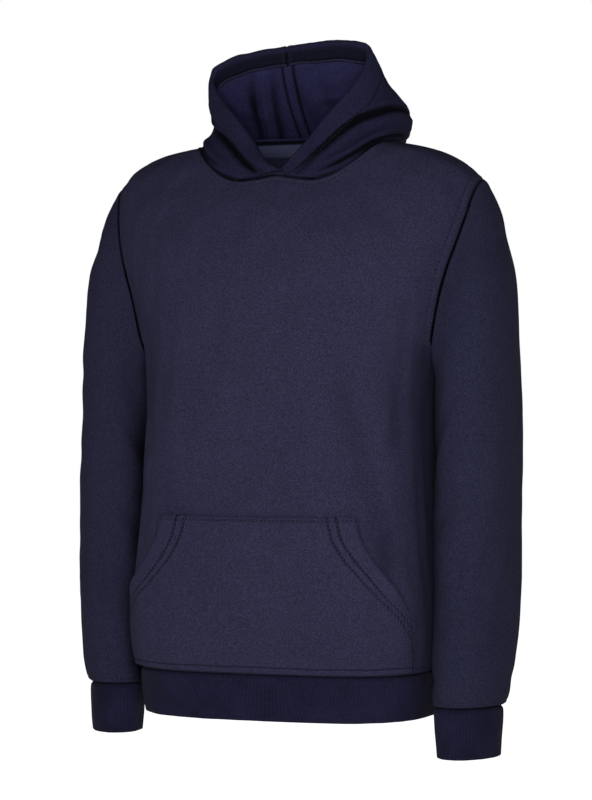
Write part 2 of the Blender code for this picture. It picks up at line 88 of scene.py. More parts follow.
scene = bpy.context.scene
scene.view_settings.view_transform = "Standard"
swing = math.radians(CAMERA_AZIMUTH)
ahead_of_camera = Vector((-math.sin(swing), math.cos(swing), 0.0))
right_of_camera = Vector((math.cos(swing), math.sin(swing), 0.0))
up = Vector((0.0, 0.0, 1.0))
camera = bpy.data.objects.new("camera", bpy.data.cameras.new("camera"))
scene.collection.objects.link(camera)
camera.data.lens = CAMERA_LENS
camera.data.sensor_width = 36.0
camera.data.shift_x, camera.data.shift_y = CAMERA_SHIFT
camera.data.clip_start = 0.05
stand = Vector((0.0, 0.0, CAMERA_HEIGHT)) - ahead_of_camera * CAMERA_DISTANCE
turn_to_garment = Matrix((right_of_camera, up, -ahead_of_camera)).transposed().to_4x4()
camera.matrix_world = Matrix.Translation(stand) @ turn_to_garment
scene.camera = camera

sky = bpy.data.worlds.new("studio_white")
scene.world = sky
sky.use_nodes = True
tree = sky.node_tree
tree.nodes.clear()
seen = node(tree, "ShaderNodeBackground", links=(("Color", linear("#ffffff")), ("Strength", 1.0)))
fill = node(tree, "ShaderNodeBackground", links=(("Color", linear("#f2f4ff")), ("Strength", 0.11)))
ray = node(tree, "ShaderNodeLightPath")
pick = node(tree, "ShaderNodeMixShader", links=((0, ray.outputs["Is Camera Ray"]),
            (1, fill.outputs[0]), (2, seen.outputs[0])))
node(tree, "ShaderNodeOutputWorld", links=(("Surface", pick.outputs[0]),))

for name, away, height, aside, power_w, size in (
    ("light_front", 1.1, -0.10, -0.06, 12.6, 0.6),
    ("light_left", 0.7, 0.30, -1.5, 1.2, 0.9),
    ("light_right", 0.7, 0.30, 1.4, 1.5, 0.9),
):
    lamp = bpy.data.objects.new(name, bpy.data.lights.new(name, "AREA"))
    lamp.data.energy = power_w
    lamp.data.size = size
    lamp.visible_camera = False
    scene.collection.objects.link(lamp)
    lamp.location = -ahead_of_camera * away + right_of_camera * aside + up * height
    aim = Vector((0.0, 0.0, -0.2)) - lamp.location
    lamp.rotation_euler = aim.to_track_quat("-Z", "Y").to_euler()

floor_mesh = bpy.data.meshes.new("floor")
half_floor = 6.0
floor_mesh.from_pydata(
    [(x * half_floor, y * half_floor, FLOOR_HEIGHT) for x, y in ((-1, -1), (1, -1), (1, 1), (-1, 1))],
    [], [(0, 1, 2, 3)])
floor = bpy.data.objects.new("floor", floor_mesh)
scene.collection.objects.link(floor)
painted_sweep = bpy.data.materials.new("painted_sweep")
painted_sweep.use_nodes = True
tree = painted_sweep.node_tree
paint = tree.nodes["Principled BSDF"]
paint.inputs["Base Color"].default_value = linear("#f4f4f4")
paint.inputs["Roughness"].default_value = 0.9
paint.inputs["Emission Color"].default_value = linear("#ffffff")
# The sweep glows fully far from the garment and a quarter as much under it.
place = node(tree, "ShaderNodeTexCoord")
away = node(tree, "ShaderNodeVectorMath", (("operation", "LENGTH"),), ((0, place.outputs["Object"]),))
glow = node(tree, "ShaderNodeMapRange", (("interpolation_type", "SMOOTHSTEP"),),
            (("Value", away.outputs["Value"]), ("From Min", 1.1), ("From Max", 2.3),
             ("To Min", 0.25), ("To Max", 1.0)))
tree.links.new(glow.outputs[0], paint.inputs["Emission Strength"])
floor_mesh.materials.append(painted_sweep)
floor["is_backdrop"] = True

# ---------------------------------------------------------------------------
# Front and back panels. Brushed cotton and polyester fleece, each panel cut in one
# piece, overlocked together at the shoulders and sides, with the neck, the armholes
# and the waist finished in rows of topstitching.
# ---------------------------------------------------------------------------
CM = 0.01
FLEECE = 0.0020
SEAM_GAP = 0.0003
RIDGE_Y = 0.30
TORSO_FOOT = -40.1
PANEL_CROWDING = 1.6
PANEL_LEAN_START = 0.35
RIDGE_ROWS = 6
FRONT_STEPS = (24, 20)
BACK_STEPS = (20, 16)
# The tables are in centimetres.
TORSO = (
    # z,     width, front, back, square
    (1.50,   6.80,  3.10,  4.70,  2.4),
    (0.45,   7.80,  3.60,  5.30,  2.4),
    (0.00,  10.40,  4.00,  5.70,  2.4),
    (-0.50, 11.80,  4.30,  6.00,  2.4),
    (-1.30, 13.40,  4.80,  6.50,  2.4),
    (-2.60, 14.90,  5.50,  7.20,  2.4),
    (-4.20, 14.95,  6.50,  7.90,  2.4),
    (-6.00, 14.90,  7.30,  8.40,  2.4),
    (-8.00, 14.60,  8.00,  8.80,  2.4),
    (-10.0, 14.00,  8.50,  9.00,  2.4),
    (-12.0, 13.20,  8.80,  9.10,  2.5),
    (-14.5, 12.35,  9.00,  9.10,  2.8),
    (-17.0, 11.50,  9.20,  9.00,  3.2),
    (-20.0, 11.20,  9.40,  8.80,  3.6),
    (-25.0, 11.20,  9.70,  8.60,  3.8),
    (-30.0, 11.45, 10.10,  8.70,  3.9),
    (-34.0, 11.75, 10.40,  9.00,  4.0),
    (-37.5, 11.80, 10.20,  9.20,  3.9),
    (-39.3, 11.70,  9.90,  9.15,  3.7),
    (-40.1, 11.55,  9.70,  9.00,  3.5),
)
FRONT_NECK = (
    # x,    z
    (0.00, -2.30),
    (1.30, -2.50),
    (2.60, -2.70),
    (3.90, -2.50),
    (5.10, -1.90),
    (6.20, -1.05),
    (7.00, -0.25),
    (7.80,  0.45),
)
BACK_NECK = (
    (0.00,  1.05),
    (2.20,  1.03),
    (4.20,  0.98),
    (5.80,  0.88),
    (7.00,  0.70),
    (7.80,  0.45),
)
FRONT_ARMHOLE = (
    # z,     x
    (-2.60, 14.90),
    (-3.80, 14.60),
    (-5.80, 14.20),
    (-7.70, 13.70),
    (-9.60, 13.10),
    (-11.7, 12.50),
    (-14.4, 11.95),
    (-16.2, 11.60),
    (-17.0, 11.50),
)
BACK_ARMHOLE = (
    (-2.60, 14.90),
    (-3.80, 14.70),
    (-5.80, 14.40),
    (-7.70, 14.00),
    (-9.60, 13.40),
    (-11.7, 12.70),
    (-14.4, 12.05),
    (-16.2, 11.65),
    (-17.0, 11.50),
)
FRONT_FOLDS = (
    # x0,    z0,    x1,    z1,   width, depth
    (4.5,  -18.5,   9.6,  -31.0,  2.1,  0.55),
    (9.2,  -29.0,   9.9,  -37.0,  1.2,  0.35),
    (-9.8, -16.0,  -8.4,  -24.0,  1.3,  0.30),
    (10.6, -12.0,  10.2,  -19.0,  1.0,  0.25),
    (-6.0, -37.5,   6.0,  -38.0,  1.1, -0.12),
)
BACK_FOLDS = (
    (-5.5, -17.0,  -9.3,  -30.0,  2.0,  0.45),
    (6.0,  -19.0,   9.2,  -33.0,  1.9,  0.40),
    (0.5,  -30.0,  -1.0,  -38.0,  1.6,  0.25),
)
# Finer creases that the cloth keeps between its large folds.
FRONT_CREASES = (
    # x0,    z0,    x1,    z1,   width, depth
    (6.2,  -19.0,  10.2, -31.0,  0.90, 0.34),
    (9.8,  -30.0,  10.6, -38.5,  0.60, 0.24),
    (-10.4, -13.5, -9.7, -23.0,  0.55, 0.20),
    (10.8, -12.5,  10.2, -22.5,  0.45, 0.20),
    (9.0,  -37.5,  11.2, -38.3,  0.30, 0.16),
    (-7.0,  -3.6,  -9.4,  -6.8,  0.70, 0.12),
    (6.2,   -3.3,   9.0,  -6.0,  0.70, 0.12),
)
BACK_CREASES = (
    (-5.0, -16.0,  -9.6, -27.0,  0.90, 0.30),
    (5.4,  -18.5,   9.4, -30.0,  0.85, 0.32),
    (0.8,  -28.0,  -0.6, -38.0,  0.80, 0.20),
    (-9.8, -30.0, -10.4, -38.0,  0.60, 0.20),
    (9.6,   -9.0,  10.9, -16.0,  0.55, 0.18),
)


def curve_through(knots, values, at):
    """Read a smooth curve that passes through every table value."""
    knots = np.asarray(knots, float)
    values = np.asarray(values, float)
    at = np.clip(np.asarray(at, float), min(knots[0], knots[-1]), max(knots[0], knots[-1]))
    if knots[0] > knots[-1]:
        knots = knots[::-1]
        values = values[::-1]
    rise = (np.diff(values, axis=0).T / np.diff(knots)).T
    slopes = np.concatenate([rise[:1], np.zeros_like(rise[1:]), rise[-1:]])
    total = rise[1:] + rise[:-1]
    same_way = rise[1:] * rise[:-1] > 0
    slopes[1:-1] = np.where(same_way, 2 * rise[1:] * rise[:-1] / np.where(same_way, total, 1.0), 0.0)
    left = np.clip(np.searchsorted(knots, at) - 1, 0, len(knots) - 2)
    span = knots[left + 1] - knots[left]
    f = (at - knots[left]) / span
    return (
        (2 * f**3 - 3 * f**2 + 1) * values[left]
        + (f**3 - 2 * f**2 + f) * span * slopes[left]
        + (3 * f**2 - 2 * f**3) * values[left + 1]
        + (f**3 - f**2) * span * slopes[left + 1]
    )


def table_curve(table, column, at):
    """Read one column of a table at the given places along its first column."""
    rows = np.array(table, float)
    return curve_through(rows[:, 0], rows[:, column], at)


def power(base, exponent):
    """A signed power, so that a section keeps its left and right halves."""
    return np.sign(base) * np.abs(base) ** exponent


def fold_depth(folds, x, z):
    """How far the folds draw the cloth in at a place on the panel."""
    depth = np.zeros_like(x)
    for x0, z0, x1, z1, width, deep in folds:
        length = math.hypot(x1 - x0, z1 - z0)
        along = ((x - x0) * (x1 - x0) + (z - z0) * (z1 - z0)) / length
        across = ((x - x0) * (z1 - z0) - (z - z0) * (x1 - x0)) / length
        past = np.maximum(np.abs(along - length / 2) - length / 2, 0.0)
        depth = depth + deep * np.exp(-(across**2 + past**2 * 0.6) / width**2)
    return depth


def torso_point(x, z, face):
    """A point of the torso's outer surface: face is -1 in front and +1 behind."""
    width = table_curve(TORSO, 1, z)
    depth = table_curve(TORSO, 2 if face < 0 else 3, z)
    square = table_curve(TORSO, 4, z)
    share = np.clip(np.abs(x) / width, 0.0, 1.0)
    bow = (1.0 - share**square) ** (1.0 / square)
    folds = FRONT_FOLDS if face < 0 else BACK_FOLDS
    y = RIDGE_Y + face * (SEAM_GAP / CM / 2 + depth * bow - fold_depth(folds, x, z) * bow)
    return np.stack([x, y, z], axis=-1)


def unit(vectors):
    """The same directions with length 1."""
    return vectors / np.linalg.norm(vectors, axis=-1, keepdims=True)


def grid_normals(points, ring=False):
    """Unit normals of a grid of points, whose columns may close into a ring."""
    if ring:
        across = np.roll(points, -1, axis=1) - np.roll(points, 1, axis=1)
    else:
        across = np.gradient(points, axis=1)
    along = np.gradient(points, axis=0)
    return unit(np.cross(across, along))


def neckline(neck, face, columns):
    """Half of a panel's neckline, from the middle to the shoulder seam."""
    steps = columns // 2 - columns // 5
    x = neck[-1][0] * np.sin(np.linspace(0.0, math.pi / 2, steps + 1))
    return torso_point(x, table_curve(neck, 1, x), face)


def panel_grid(face, neck, armhole, steps):
    """The outer surface of the front or the back panel, at the pattern's own steps."""
    columns, rows = steps
    shoulder = columns // 5
    tip_z, tip_x = armhole[0]
    across_neck, _, neck_z = neckline(neck, face, columns).T
    along_shoulder = np.linspace(neck[-1][0], tip_x, shoulder + 1)[1:]
    ridge = np.array(TORSO, float)[:RIDGE_ROWS]
    ridge_z = curve_through(ridge[:, 1], ridge[:, 0], along_shoulder)
    top_x = np.concatenate([across_neck, along_shoulder])
    top_z = np.concatenate([neck_z, ridge_z])
    top_x = np.concatenate([-top_x[:0:-1], top_x])
    top_z = np.concatenate([top_z[:0:-1], top_z])
    place = np.linspace(-1.0, 1.0, columns + 1)
    grid = np.zeros((rows + 1, columns + 1, 3))
    underarm = armhole[-1][0]
    shares = 1.0 - np.linspace(1.0, 0.0, rows + 1) ** PANEL_CROWDING
    for row, share in enumerate(shares):
        edge_z = TORSO_FOOT + (tip_z - TORSO_FOOT) * share
        edge = TORSO if edge_z <= underarm else armhole
        edge_x = float(table_curve(edge, 1, edge_z))
        square = float(table_curve(TORSO, 4, edge_z))
        low_x = edge_x * power(np.sin(place * math.pi / 2), 2.0 / square)
        high_x = edge_x * top_x / tip_x
        blend = np.clip((share - PANEL_LEAN_START) / (1.0 - PANEL_LEAN_START), 0.0, 1.0)
        blend = blend * blend * (3.0 - 2.0 * blend)
        x = low_x * (1.0 - blend) + high_x * blend
        z = TORSO_FOOT + (top_z - TORSO_FOOT) * share
        grid[row] = torso_point(x, z, face)
    for seam in (grid[-1, :shoulder + 1], grid[-1, -shoulder - 1:]):
        seam[:, 1] = RIDGE_Y + face * SEAM_GAP / CM / 2
    return grid


def finer(grid, row_places, column_places, ring=False):
    """Read a smooth surface through a grid, at places given in its own steps."""
    if ring:
        grid = np.concatenate([grid[:, -2:], grid, grid[:, :3]], axis=1)
        column_places = column_places + 2
    rows = np.stack([curve_through(np.arange(len(grid)), grid, at) for at in row_places])
    across = np.swapaxes(rows, 0, 1)
    knots = np.arange(len(across))
    across = np.stack([curve_through(knots, across, at) for at in column_places])
    return np.swapaxes(across, 0, 1)


def close_steps(length_cm, steps, coarse=0.28, fine=0.055, near=0.75):
    """Places along an edge, close together at both ends, where the topstitching runs."""
    at = [0.0]
    while at[-1] < length_cm:
        edge = min(at[-1], length_cm - at[-1])
        at.append(at[-1] + fine + (coarse - fine) * min(1.0, max(0.0, edge / near - 0.6) / 1.4))
    return np.array(at) / at[-1] * steps


def seam_groove(distance, at, depth=0.045, width=0.06):
    """How deep a row of stitches pulls the cloth in, at a distance from the seam."""
    pull = np.exp(-((distance - at) / width) ** 2)
    ridge = np.exp(-((np.abs(distance - at) - width * 2.6) / (width * 1.6)) ** 2)
    return depth * pull - depth * 0.30 * ridge


def soft_drape(points, seed, size=5.5, depth=0.05):
    """Slow, uneven rises and hollows of cloth that hangs with nothing behind it."""
    random = np.random.default_rng(seed)
    total = np.zeros(points.shape[:-1])
    for scale, share in ((1.0, 1.0), (0.55, 0.45), (0.3, 0.18)):
        for _ in range(5):
            wave = random.normal(size=3) * (2 * math.pi / (size * scale)) * np.array([1.0, 1.0, 0.45])
            total += share * np.sin(points @ wave + random.uniform(0, 2 * math.pi))
    return depth * total / 2.2


def sew_wall(name, outer, inner, material, ring=False, reverse=None, painted_shade=None):
    """Close an outer and an inner grid of points into one wall of cloth, which may show
    another material on its reverse, and carry a painted shade on its face as an attribute."""
    rows, columns = outer.shape[:2]
    points = np.concatenate([outer.reshape(-1, 3), inner.reshape(-1, 3)]) * CM
    inside = rows * columns
    last = columns if ring else columns - 1
    row, column = np.meshgrid(np.arange(rows - 1), np.arange(last), indexing="ij")
    beside = (column + 1) % columns
    quads = np.stack([row * columns + column, row * columns + beside,
                      (row + 1) * columns + beside, (row + 1) * columns + column], -1).reshape(-1, 4)
    under = quads[:, (0, 3, 2, 1)] + inside
    c = np.arange(last)
    d = (c + 1) % columns
    top = (rows - 1) * columns
    foot_edge = np.stack([c, c + inside, d + inside, d], -1)
    top_edge = np.stack([top + d, top + d + inside, top + c + inside, top + c], -1)
    faces = [quads, under, foot_edge, top_edge]
    if not ring:
        r = np.arange(rows - 1) * columns
        near = np.stack([r + columns, r + columns + inside, r + inside, r], -1)
        e = r + last
        far = np.stack([e, e + inside, e + columns + inside, e + columns], -1)
        faces += [near, far]
    faces = np.concatenate(faces)
    mesh = bpy.data.meshes.new(name)
    mesh.from_pydata(points.tolist(), [], faces.tolist())
    across = np.linalg.norm(np.diff(outer, axis=1, append=outer[:, :1]), axis=-1).mean(axis=0)
    along = np.linalg.norm(np.diff(outer, axis=0), axis=-1).mean(axis=1)
    u = np.concatenate([[0.0], np.cumsum(across)]) * CM
    v = np.concatenate([[0.0], np.cumsum(along)]) * CM
    number = np.empty(len(mesh.loops), int)
    mesh.loops.foreach_get("vertex_index", number)
    place = number % inside
    grain = mesh.uv_layers.new(name="grain")
    column_of = place % columns
    if ring:
        start = np.arange(len(mesh.loops)) // 4 * 4
        first = column_of[start]
        third = column_of[np.minimum(start + 2, len(place) - 1)]
        wrapped = (first >= columns - 1) | (third >= columns - 1)
        column_of = np.where(wrapped & (column_of == 0), columns, column_of)
    grain.data.foreach_set("uv", np.stack([u[column_of], v[place // columns]], -1).ravel())
    if painted_shade is not None:
        painted_shade_layer = mesh.attributes.new("painted_shade", "FLOAT", "POINT")
        amount = np.clip(painted_shade.ravel(), 0.0, 1.0)
        painted_shade_layer.data.foreach_set("value", np.concatenate([amount, np.zeros(inside)]))
    mesh.shade_smooth()
    mesh.set_sharp_from_angle(angle=math.radians(60))
    mesh.materials.append(material)
    if reverse:
        mesh.materials.append(reverse)
        slots = np.zeros(len(faces), int)
        slots[len(quads):2 * len(quads)] = 1
        mesh.polygons.foreach_set("material_index", slots)
    piece = bpy.data.objects.new(name, mesh)
    scene.collection.objects.link(piece)
    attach(piece, "root")
    return piece


def new_material(name, settings):
    """A material whose shader has the given settings, with its node tree."""
    material = bpy.data.materials.new(name)
    material.use_nodes = True
    shader = material.node_tree.nodes["Principled BSDF"]
    for key, value in settings:
        shader.inputs[key].default_value = value
    return material, material.node_tree, shader


def brushed_fleece(name, deep, body, light, fuzz):
    """Brushed cotton and polyester fleece, piece dyed: matt, with a short soft nap and a
    faint melange of three close shades."""
    material, tree, shader = new_material(name, (
        ("Roughness", 0.92), ("IOR", 1.45), ("Specular IOR Level", 0.08), ("Sheen Weight", fuzz),
        ("Sheen Roughness", 0.55), ("Sheen Tint", linear("#8f93b8"))))
    where = node(tree, "ShaderNodeTexCoord")
    # Fibre clumps are about 1 mm apart, and single lighter fibres about 0.5 mm.
    clumps, fibres, washes = [
        node(tree, "ShaderNodeTexNoise", links=(("Vector", where.outputs["Object"]),
             ("Scale", scale), ("Detail", detail), ("Roughness", rough)))
        for scale, detail, rough in ((950.0, 3.0, 0.6), (1900.0, 2.0, 0.7), (14.0, 3.0, 0.5))]
    both = node(tree, "ShaderNodeMath", (("operation", "MULTIPLY_ADD"),),
                ((0, fibres.outputs["Fac"]), (1, 0.6), (2, clumps.outputs["Fac"])))
    all_three = node(tree, "ShaderNodeMath", (("operation", "MULTIPLY_ADD"),),
                     ((0, washes.outputs["Fac"]), (1, 0.14), (2, both.outputs[0])))
    tones = node(tree, "ShaderNodeValToRGB", links=((0, all_three.outputs[0]),))
    ramp = tones.color_ramp
    ramp.elements[0].position, ramp.elements[0].color = 0.70, linear(deep)
    ramp.elements[1].position, ramp.elements[1].color = 1.05, linear(light)
    middle = ramp.elements.new(0.87)
    middle.color = linear(body)
    # The attribute's values mix the colour towards a near-black navy: painted shade in seams,
    # creases and on sides that face each other.
    painted_shade = node(tree, "ShaderNodeAttribute", (("attribute_name", "painted_shade"),))
    painted_shade_mix = node(tree, "ShaderNodeMix", (("data_type", "RGBA"),), ((0, painted_shade.outputs["Fac"]),
                (6, tones.outputs[0]), (7, tuple(0.12 * c for c in linear(deep)[:3]) + (1.0,))))
    tree.links.new(painted_shade_mix.outputs[2], shader.inputs["Base Color"])
    nap = node(tree, "ShaderNodeBump", links=(("Height", both.outputs[0]),
               ("Strength", 0.35), ("Distance", 0.0005)))
    tree.links.new(nap.outputs[0], shader.inputs["Normal"])
    return material


navy_fleece = brushed_fleece("navy_brushed_fleece", "#1a1a2c", "#212033", "#2b2b40", 0.02)
brushed_inside = brushed_fleece("brushed_inside_of_fleece", "#1d1e31", "#26273d", "#33344d", 0.04)

front_grid = panel_grid(-1, FRONT_NECK, FRONT_ARMHOLE, FRONT_STEPS)
back_grid = panel_grid(1, BACK_NECK, BACK_ARMHOLE, BACK_STEPS)
front_rows = close_steps(41.0, FRONT_STEPS[1])
front_columns = close_steps(34.0, FRONT_STEPS[0])
back_rows = close_steps(41.0, BACK_STEPS[1])
back_columns = close_steps(34.0, BACK_STEPS[0])


def run_of(points, axis):
    """The distance along every row or column of a grid, from its first point."""
    steps = np.linalg.norm(np.diff(points, axis=axis), axis=-1)
    pad = [(0, 0), (0, 0)]
    pad[axis] = (1, 0)
    return np.pad(np.cumsum(steps, axis=axis), pad)


TOPSTITCH = 0.42
TWIN_NEEDLE = (0.22, 0.74)
# The sides under the arms carry a painted shade: how far in from the side seam it
# reaches, and how deep it is.
PAINTED_SIDE_SHADE_REACH = 1.1
PAINTED_SIDE_SHADE = 1.3
panels = {}
for name, face, grid, rows, columns, creases, seed in (
    ("front", -1, front_grid, front_rows, front_columns, FRONT_CREASES, 3),
    ("back", 1, back_grid, back_rows, back_columns, BACK_CREASES, 8),
):
    outer = finer(grid, rows, columns)
    normals = grid_normals(outer) * -face
    from_foot = run_of(outer, 0)
    side_run = run_of(outer, 1)
    from_top = from_foot[-1:] - from_foot
    from_edge = np.minimum(side_run, side_run[:, -1:] - side_run)
    by_armhole = outer[:, :1, 2] > FRONT_ARMHOLE[-1][0]
    by_neck = np.abs(outer[-1:, :, 0]) < FRONT_NECK[-1][0] + 0.02
    sunk = seam_groove(from_foot, TOPSTITCH) + seam_groove(from_foot, 0.0, 0.07, 0.10)
    sunk = sunk + seam_groove(from_top, TOPSTITCH) * by_neck + seam_groove(from_top, 0.0, 0.07, 0.10)
    for line in TWIN_NEEDLE:
        sunk = sunk + seam_groove(from_edge, line) * by_armhole
    sunk = sunk + seam_groove(from_edge, 0.0, 0.07, 0.12)
    drawn = fold_depth(creases, outer[..., 0], outer[..., 2])
    painted_side_shade = np.exp(-((from_edge / PAINTED_SIDE_SHADE_REACH) ** 2)) * (1.0 - by_armhole)
    # Painted shade in the seams' grooves, along the finer creases and on the sides under the arms.
    painted_shade = sunk / 0.07 + drawn * 0.45 + painted_side_shade * PAINTED_SIDE_SHADE
    quiet = np.clip(np.minimum(np.minimum(from_foot, from_top), from_edge) / 3.0, 0.0, 1.0)
    sunk = sunk + (drawn - soft_drape(outer, seed)) * quiet
    smooth = outer
    outer = outer - normals * sunk[..., None]
    inner = smooth - normals * (FLEECE / CM + np.maximum(sunk, 0.0))[..., None]
    panels[name] = (smooth, normals, outer)
    if face > 0:
        outer, inner, painted_shade = outer[:, ::-1], inner[:, ::-1], painted_shade[:, ::-1]
    piece = sew_wall(name + "_panel", outer, inner, navy_fleece, reverse=brushed_inside, painted_shade=painted_shade)
    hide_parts(name)

# ---------------------------------------------------------------------------
# Sleeves. One piece of the same fleece each, set into a dropped armhole, with the
# underarm seam overlocked and the seam to the cuff topstitched on the sleeve's side.
# ---------------------------------------------------------------------------
SLEEVE_STEPS = (20, 16)
SLEEVE = (
    # x_out, z_out,  x_in,  z_in,   y_mid, depth, turn
    (14.90,  -2.60, 11.50, -17.00,  0.30,  4.60,  0.0),
    (15.85,  -4.30, 11.55, -17.50,  0.30,  4.75,  0.0),
    (16.70,  -7.30, 11.60, -18.20,  0.25,  4.85,  0.0),
    (17.25, -11.00, 11.60, -19.30,  0.10,  4.80,  0.0),
    (17.55, -15.50, 11.60, -21.20, -0.05,  4.70,  0.0),
    (17.70, -20.00, 11.60, -23.80, -0.25,  4.55,  2.0),
    (17.80, -25.00, 11.65, -27.30, -0.50,  4.45,  4.0),
    (17.80, -30.00, 11.85, -31.20, -0.90,  4.30,  7.0),
    (17.70, -34.50, 12.05, -35.20, -1.30,  4.10, 11.0),
    (17.40, -38.50, 12.10, -38.80, -1.75,  3.80, 15.0),
    (17.05, -41.20, 12.15, -41.30, -2.05,  3.45, 19.0),
    (16.65, -42.10, 12.30, -42.15, -2.15,  3.10, 21.0),
)
SLEEVE_SQUARE = 2.3
ARMHOLE_FADE = 4.0
ARMHOLE_GAP = 0.08
# The sleeve's inner side, towards the body, carries a painted shade: where round it, how wide, how deep.
INNER_SIDE = 0.44
INNER_SIDE_WIDTH = 0.07
PAINTED_INNER_SIDE_SHADE = 1.25
SLEEVE_DROP = {"left": -0.45, "right": 0.45}
# Soft folds round a sleeve: where on its length, where round it, how steep the fold
# runs, how long it is, its width and its depth. Lengths are shares of the sleeve's.
SLEEVE_FOLDS = (
    # down, round, slope, reach, width, depth
    (0.10, 0.93, 0.15, 0.16, 0.030, 0.16),
    (0.12, 0.06, -0.10, 0.15, 0.026, 0.13),
    (0.30, 0.40, 0.35, 0.14, 0.040, 0.22),
    (0.38, 0.58, -0.30, 0.15, 0.038, 0.20),
    (0.52, 0.30, 0.25, 0.12, 0.034, 0.16),
    (0.62, 0.72, -0.22, 0.14, 0.036, 0.16),
    (0.76, 0.20, 0.30, 0.12, 0.030, 0.13),
    (0.85, 0.62, -0.26, 0.13, 0.028, 0.13),
    (0.93, 0.35, 0.10, 0.10, 0.020, 0.14),
    (0.95, 0.85, -0.12, 0.10, 0.020, 0.12),
)


def torso_normal(x, z, face):
    """The direction that points straight out of the torso at a place on a panel."""
    step = 0.03
    slope_x = torso_point(x + step, z, face)[..., 1] - torso_point(x - step, z, face)[..., 1]
    slope_z = torso_point(x, z + step, face)[..., 1] - torso_point(x, z - step, face)[..., 1]
    ones = np.full_like(slope_x, 2.0 * step)
    return unit(face * np.stack([-slope_x, ones, -slope_z], axis=-1))


def armhole_loop(turn, side):
    """The armhole's edge, read at each turn from the tip down the front and back up."""
    tip_z = FRONT_ARMHOLE[0][0]
    low_z = FRONT_ARMHOLE[-1][0]
    z = (tip_z + low_z) / 2 + (tip_z - low_z) / 2 * np.cos(turn)
    front = np.sin(turn) >= 0
    front_x = table_curve(FRONT_ARMHOLE, 1, z)
    back_x = table_curve(BACK_ARMHOLE, 1, z)
    front_points = torso_point(side * front_x, z, -1)
    back_points = torso_point(side * back_x, z, 1)
    front_out = torso_normal(side * front_x, z, -1)
    back_out = torso_normal(side * back_x, z, 1)
    points = np.where(front[:, None], front_points, back_points)
    outward = np.where(front[:, None], front_out, back_out)
    return points, outward


def turned(x, y, degrees):
    """Turn a section about its own middle, seen from above."""
    angle = math.radians(degrees)
    return x * math.cos(angle) - y * math.sin(angle), x * math.sin(angle) + y * math.cos(angle)


def sleeve_grid(side):
    """The outer surface of a sleeve, ring by ring from the armhole to the cuff seam."""
    columns, rows = SLEEVE_STEPS
    turn = np.arange(columns) * 2 * math.pi / columns
    table = np.array(SLEEVE, float)
    knots = np.arange(len(table))
    drop = SLEEVE_DROP["left" if side > 0 else "right"]
    armhole, outward = armhole_loop(turn, side)
    rings = []
    for place in np.linspace(0.0, len(table) - 1.0, rows + 1):
        x_out, z_out, x_in, z_in, y_mid, depth, twist = curve_through(knots, table, place)
        reach = power(np.cos(turn), 2.0 / SLEEVE_SQUARE)
        forward = power(np.sin(turn), 2.0 / SLEEVE_SQUARE)
        x, y = turned((x_out - x_in) / 2 * reach, -depth * forward, -twist)
        z = (z_out + z_in) / 2 + (z_out - z_in) / 2 * reach
        z = z + drop * place / (len(table) - 1.0)
        rings.append(np.stack([side * (x + (x_out + x_in) / 2), y + y_mid, z], axis=-1))
    rings = np.array(rings)
    difference = armhole - rings[0]
    for row in range(rows + 1):
        fade = max(0.0, 1.0 - row / ARMHOLE_FADE)
        rings[row] += difference * fade * fade * (3.0 - 2.0 * fade)
    rings[0, :, 0] += side * ARMHOLE_GAP
    return rings


# The sleeves' fleece is a darker copy of the body's: painted shade over the sleeves.
sleeve_cloth_painted_darker = brushed_fleece("sleeve_brushed_fleece_painted_shade", "#151527", "#1b1b2c", "#252538", 0.02)
sleeves = {}
for side, name, seed in ((1, "left", 21), (-1, "right", 22)):
    rings = sleeve_grid(side)
    row_places = close_steps(40.0, SLEEVE_STEPS[1])
    column_places = np.arange(0.0, SLEEVE_STEPS[0], SLEEVE_STEPS[0] / 104.0)
    outer = finer(rings, row_places, column_places, ring=True)
    normals = grid_normals(outer, ring=True) * side
    run = run_of(outer, 0)
    down = run / run[-1:]
    left = run[-1:] - run
    sunk = seam_groove(left, TOPSTITCH) + seam_groove(left, 0.0, 0.07, 0.10)
    sunk = sunk + seam_groove(run, 0.0, 0.07, 0.12)
    # Painted shade in the seams' grooves and on the inner side that faces the body.
    painted_shade = sunk / 0.07
    round_here = column_places / SLEEVE_STEPS[0]
    painted_inner_shade = np.exp(-(((round_here - INNER_SIDE) / INNER_SIDE_WIDTH) ** 2))
    painted_shade = painted_shade + PAINTED_INNER_SIDE_SHADE * (painted_inner_shade * np.clip((down - 0.10) / 0.2, 0.0, 1.0))
    round_it = np.broadcast_to(round_here, run.shape)
    for at_down, at_round, slope, reach, width, deep in SLEEVE_FOLDS:
        beside = (round_it - at_round + 0.5) % 1.0 - 0.5
        across = (down - at_down) - slope * beside
        sunk = sunk + deep * np.exp(-(across / width) ** 2 - (beside / reach) ** 2)
    underarm = np.abs(round_it - 0.5) * np.linalg.norm(
        outer - np.roll(outer, 1, axis=1), axis=-1).sum(axis=1, keepdims=True)
    sunk = sunk + seam_groove(underarm, 0.0, 0.06, 0.12)
    quiet = np.clip(np.minimum(run, left) / 3.0, 0.0, 1.0)
    sunk = sunk - soft_drape(outer, seed) * quiet
    skin = outer - normals * sunk[..., None]
    inner = outer - normals * (FLEECE / CM + np.maximum(sunk, 0.0)[..., None])
    sleeves[name] = (outer, normals, skin)
    if side > 0:
        skin, inner, painted_shade = skin[:, ::-1], inner[:, ::-1], painted_shade[:, ::-1]
    piece = sew_wall("sleeve_cloth_painted_darker_" + name, skin[::-1], inner[::-1], sleeve_cloth_painted_darker, ring=True,
                     reverse=brushed_inside, painted_shade=painted_shade[::-1])
    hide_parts("sleeve_" + name)

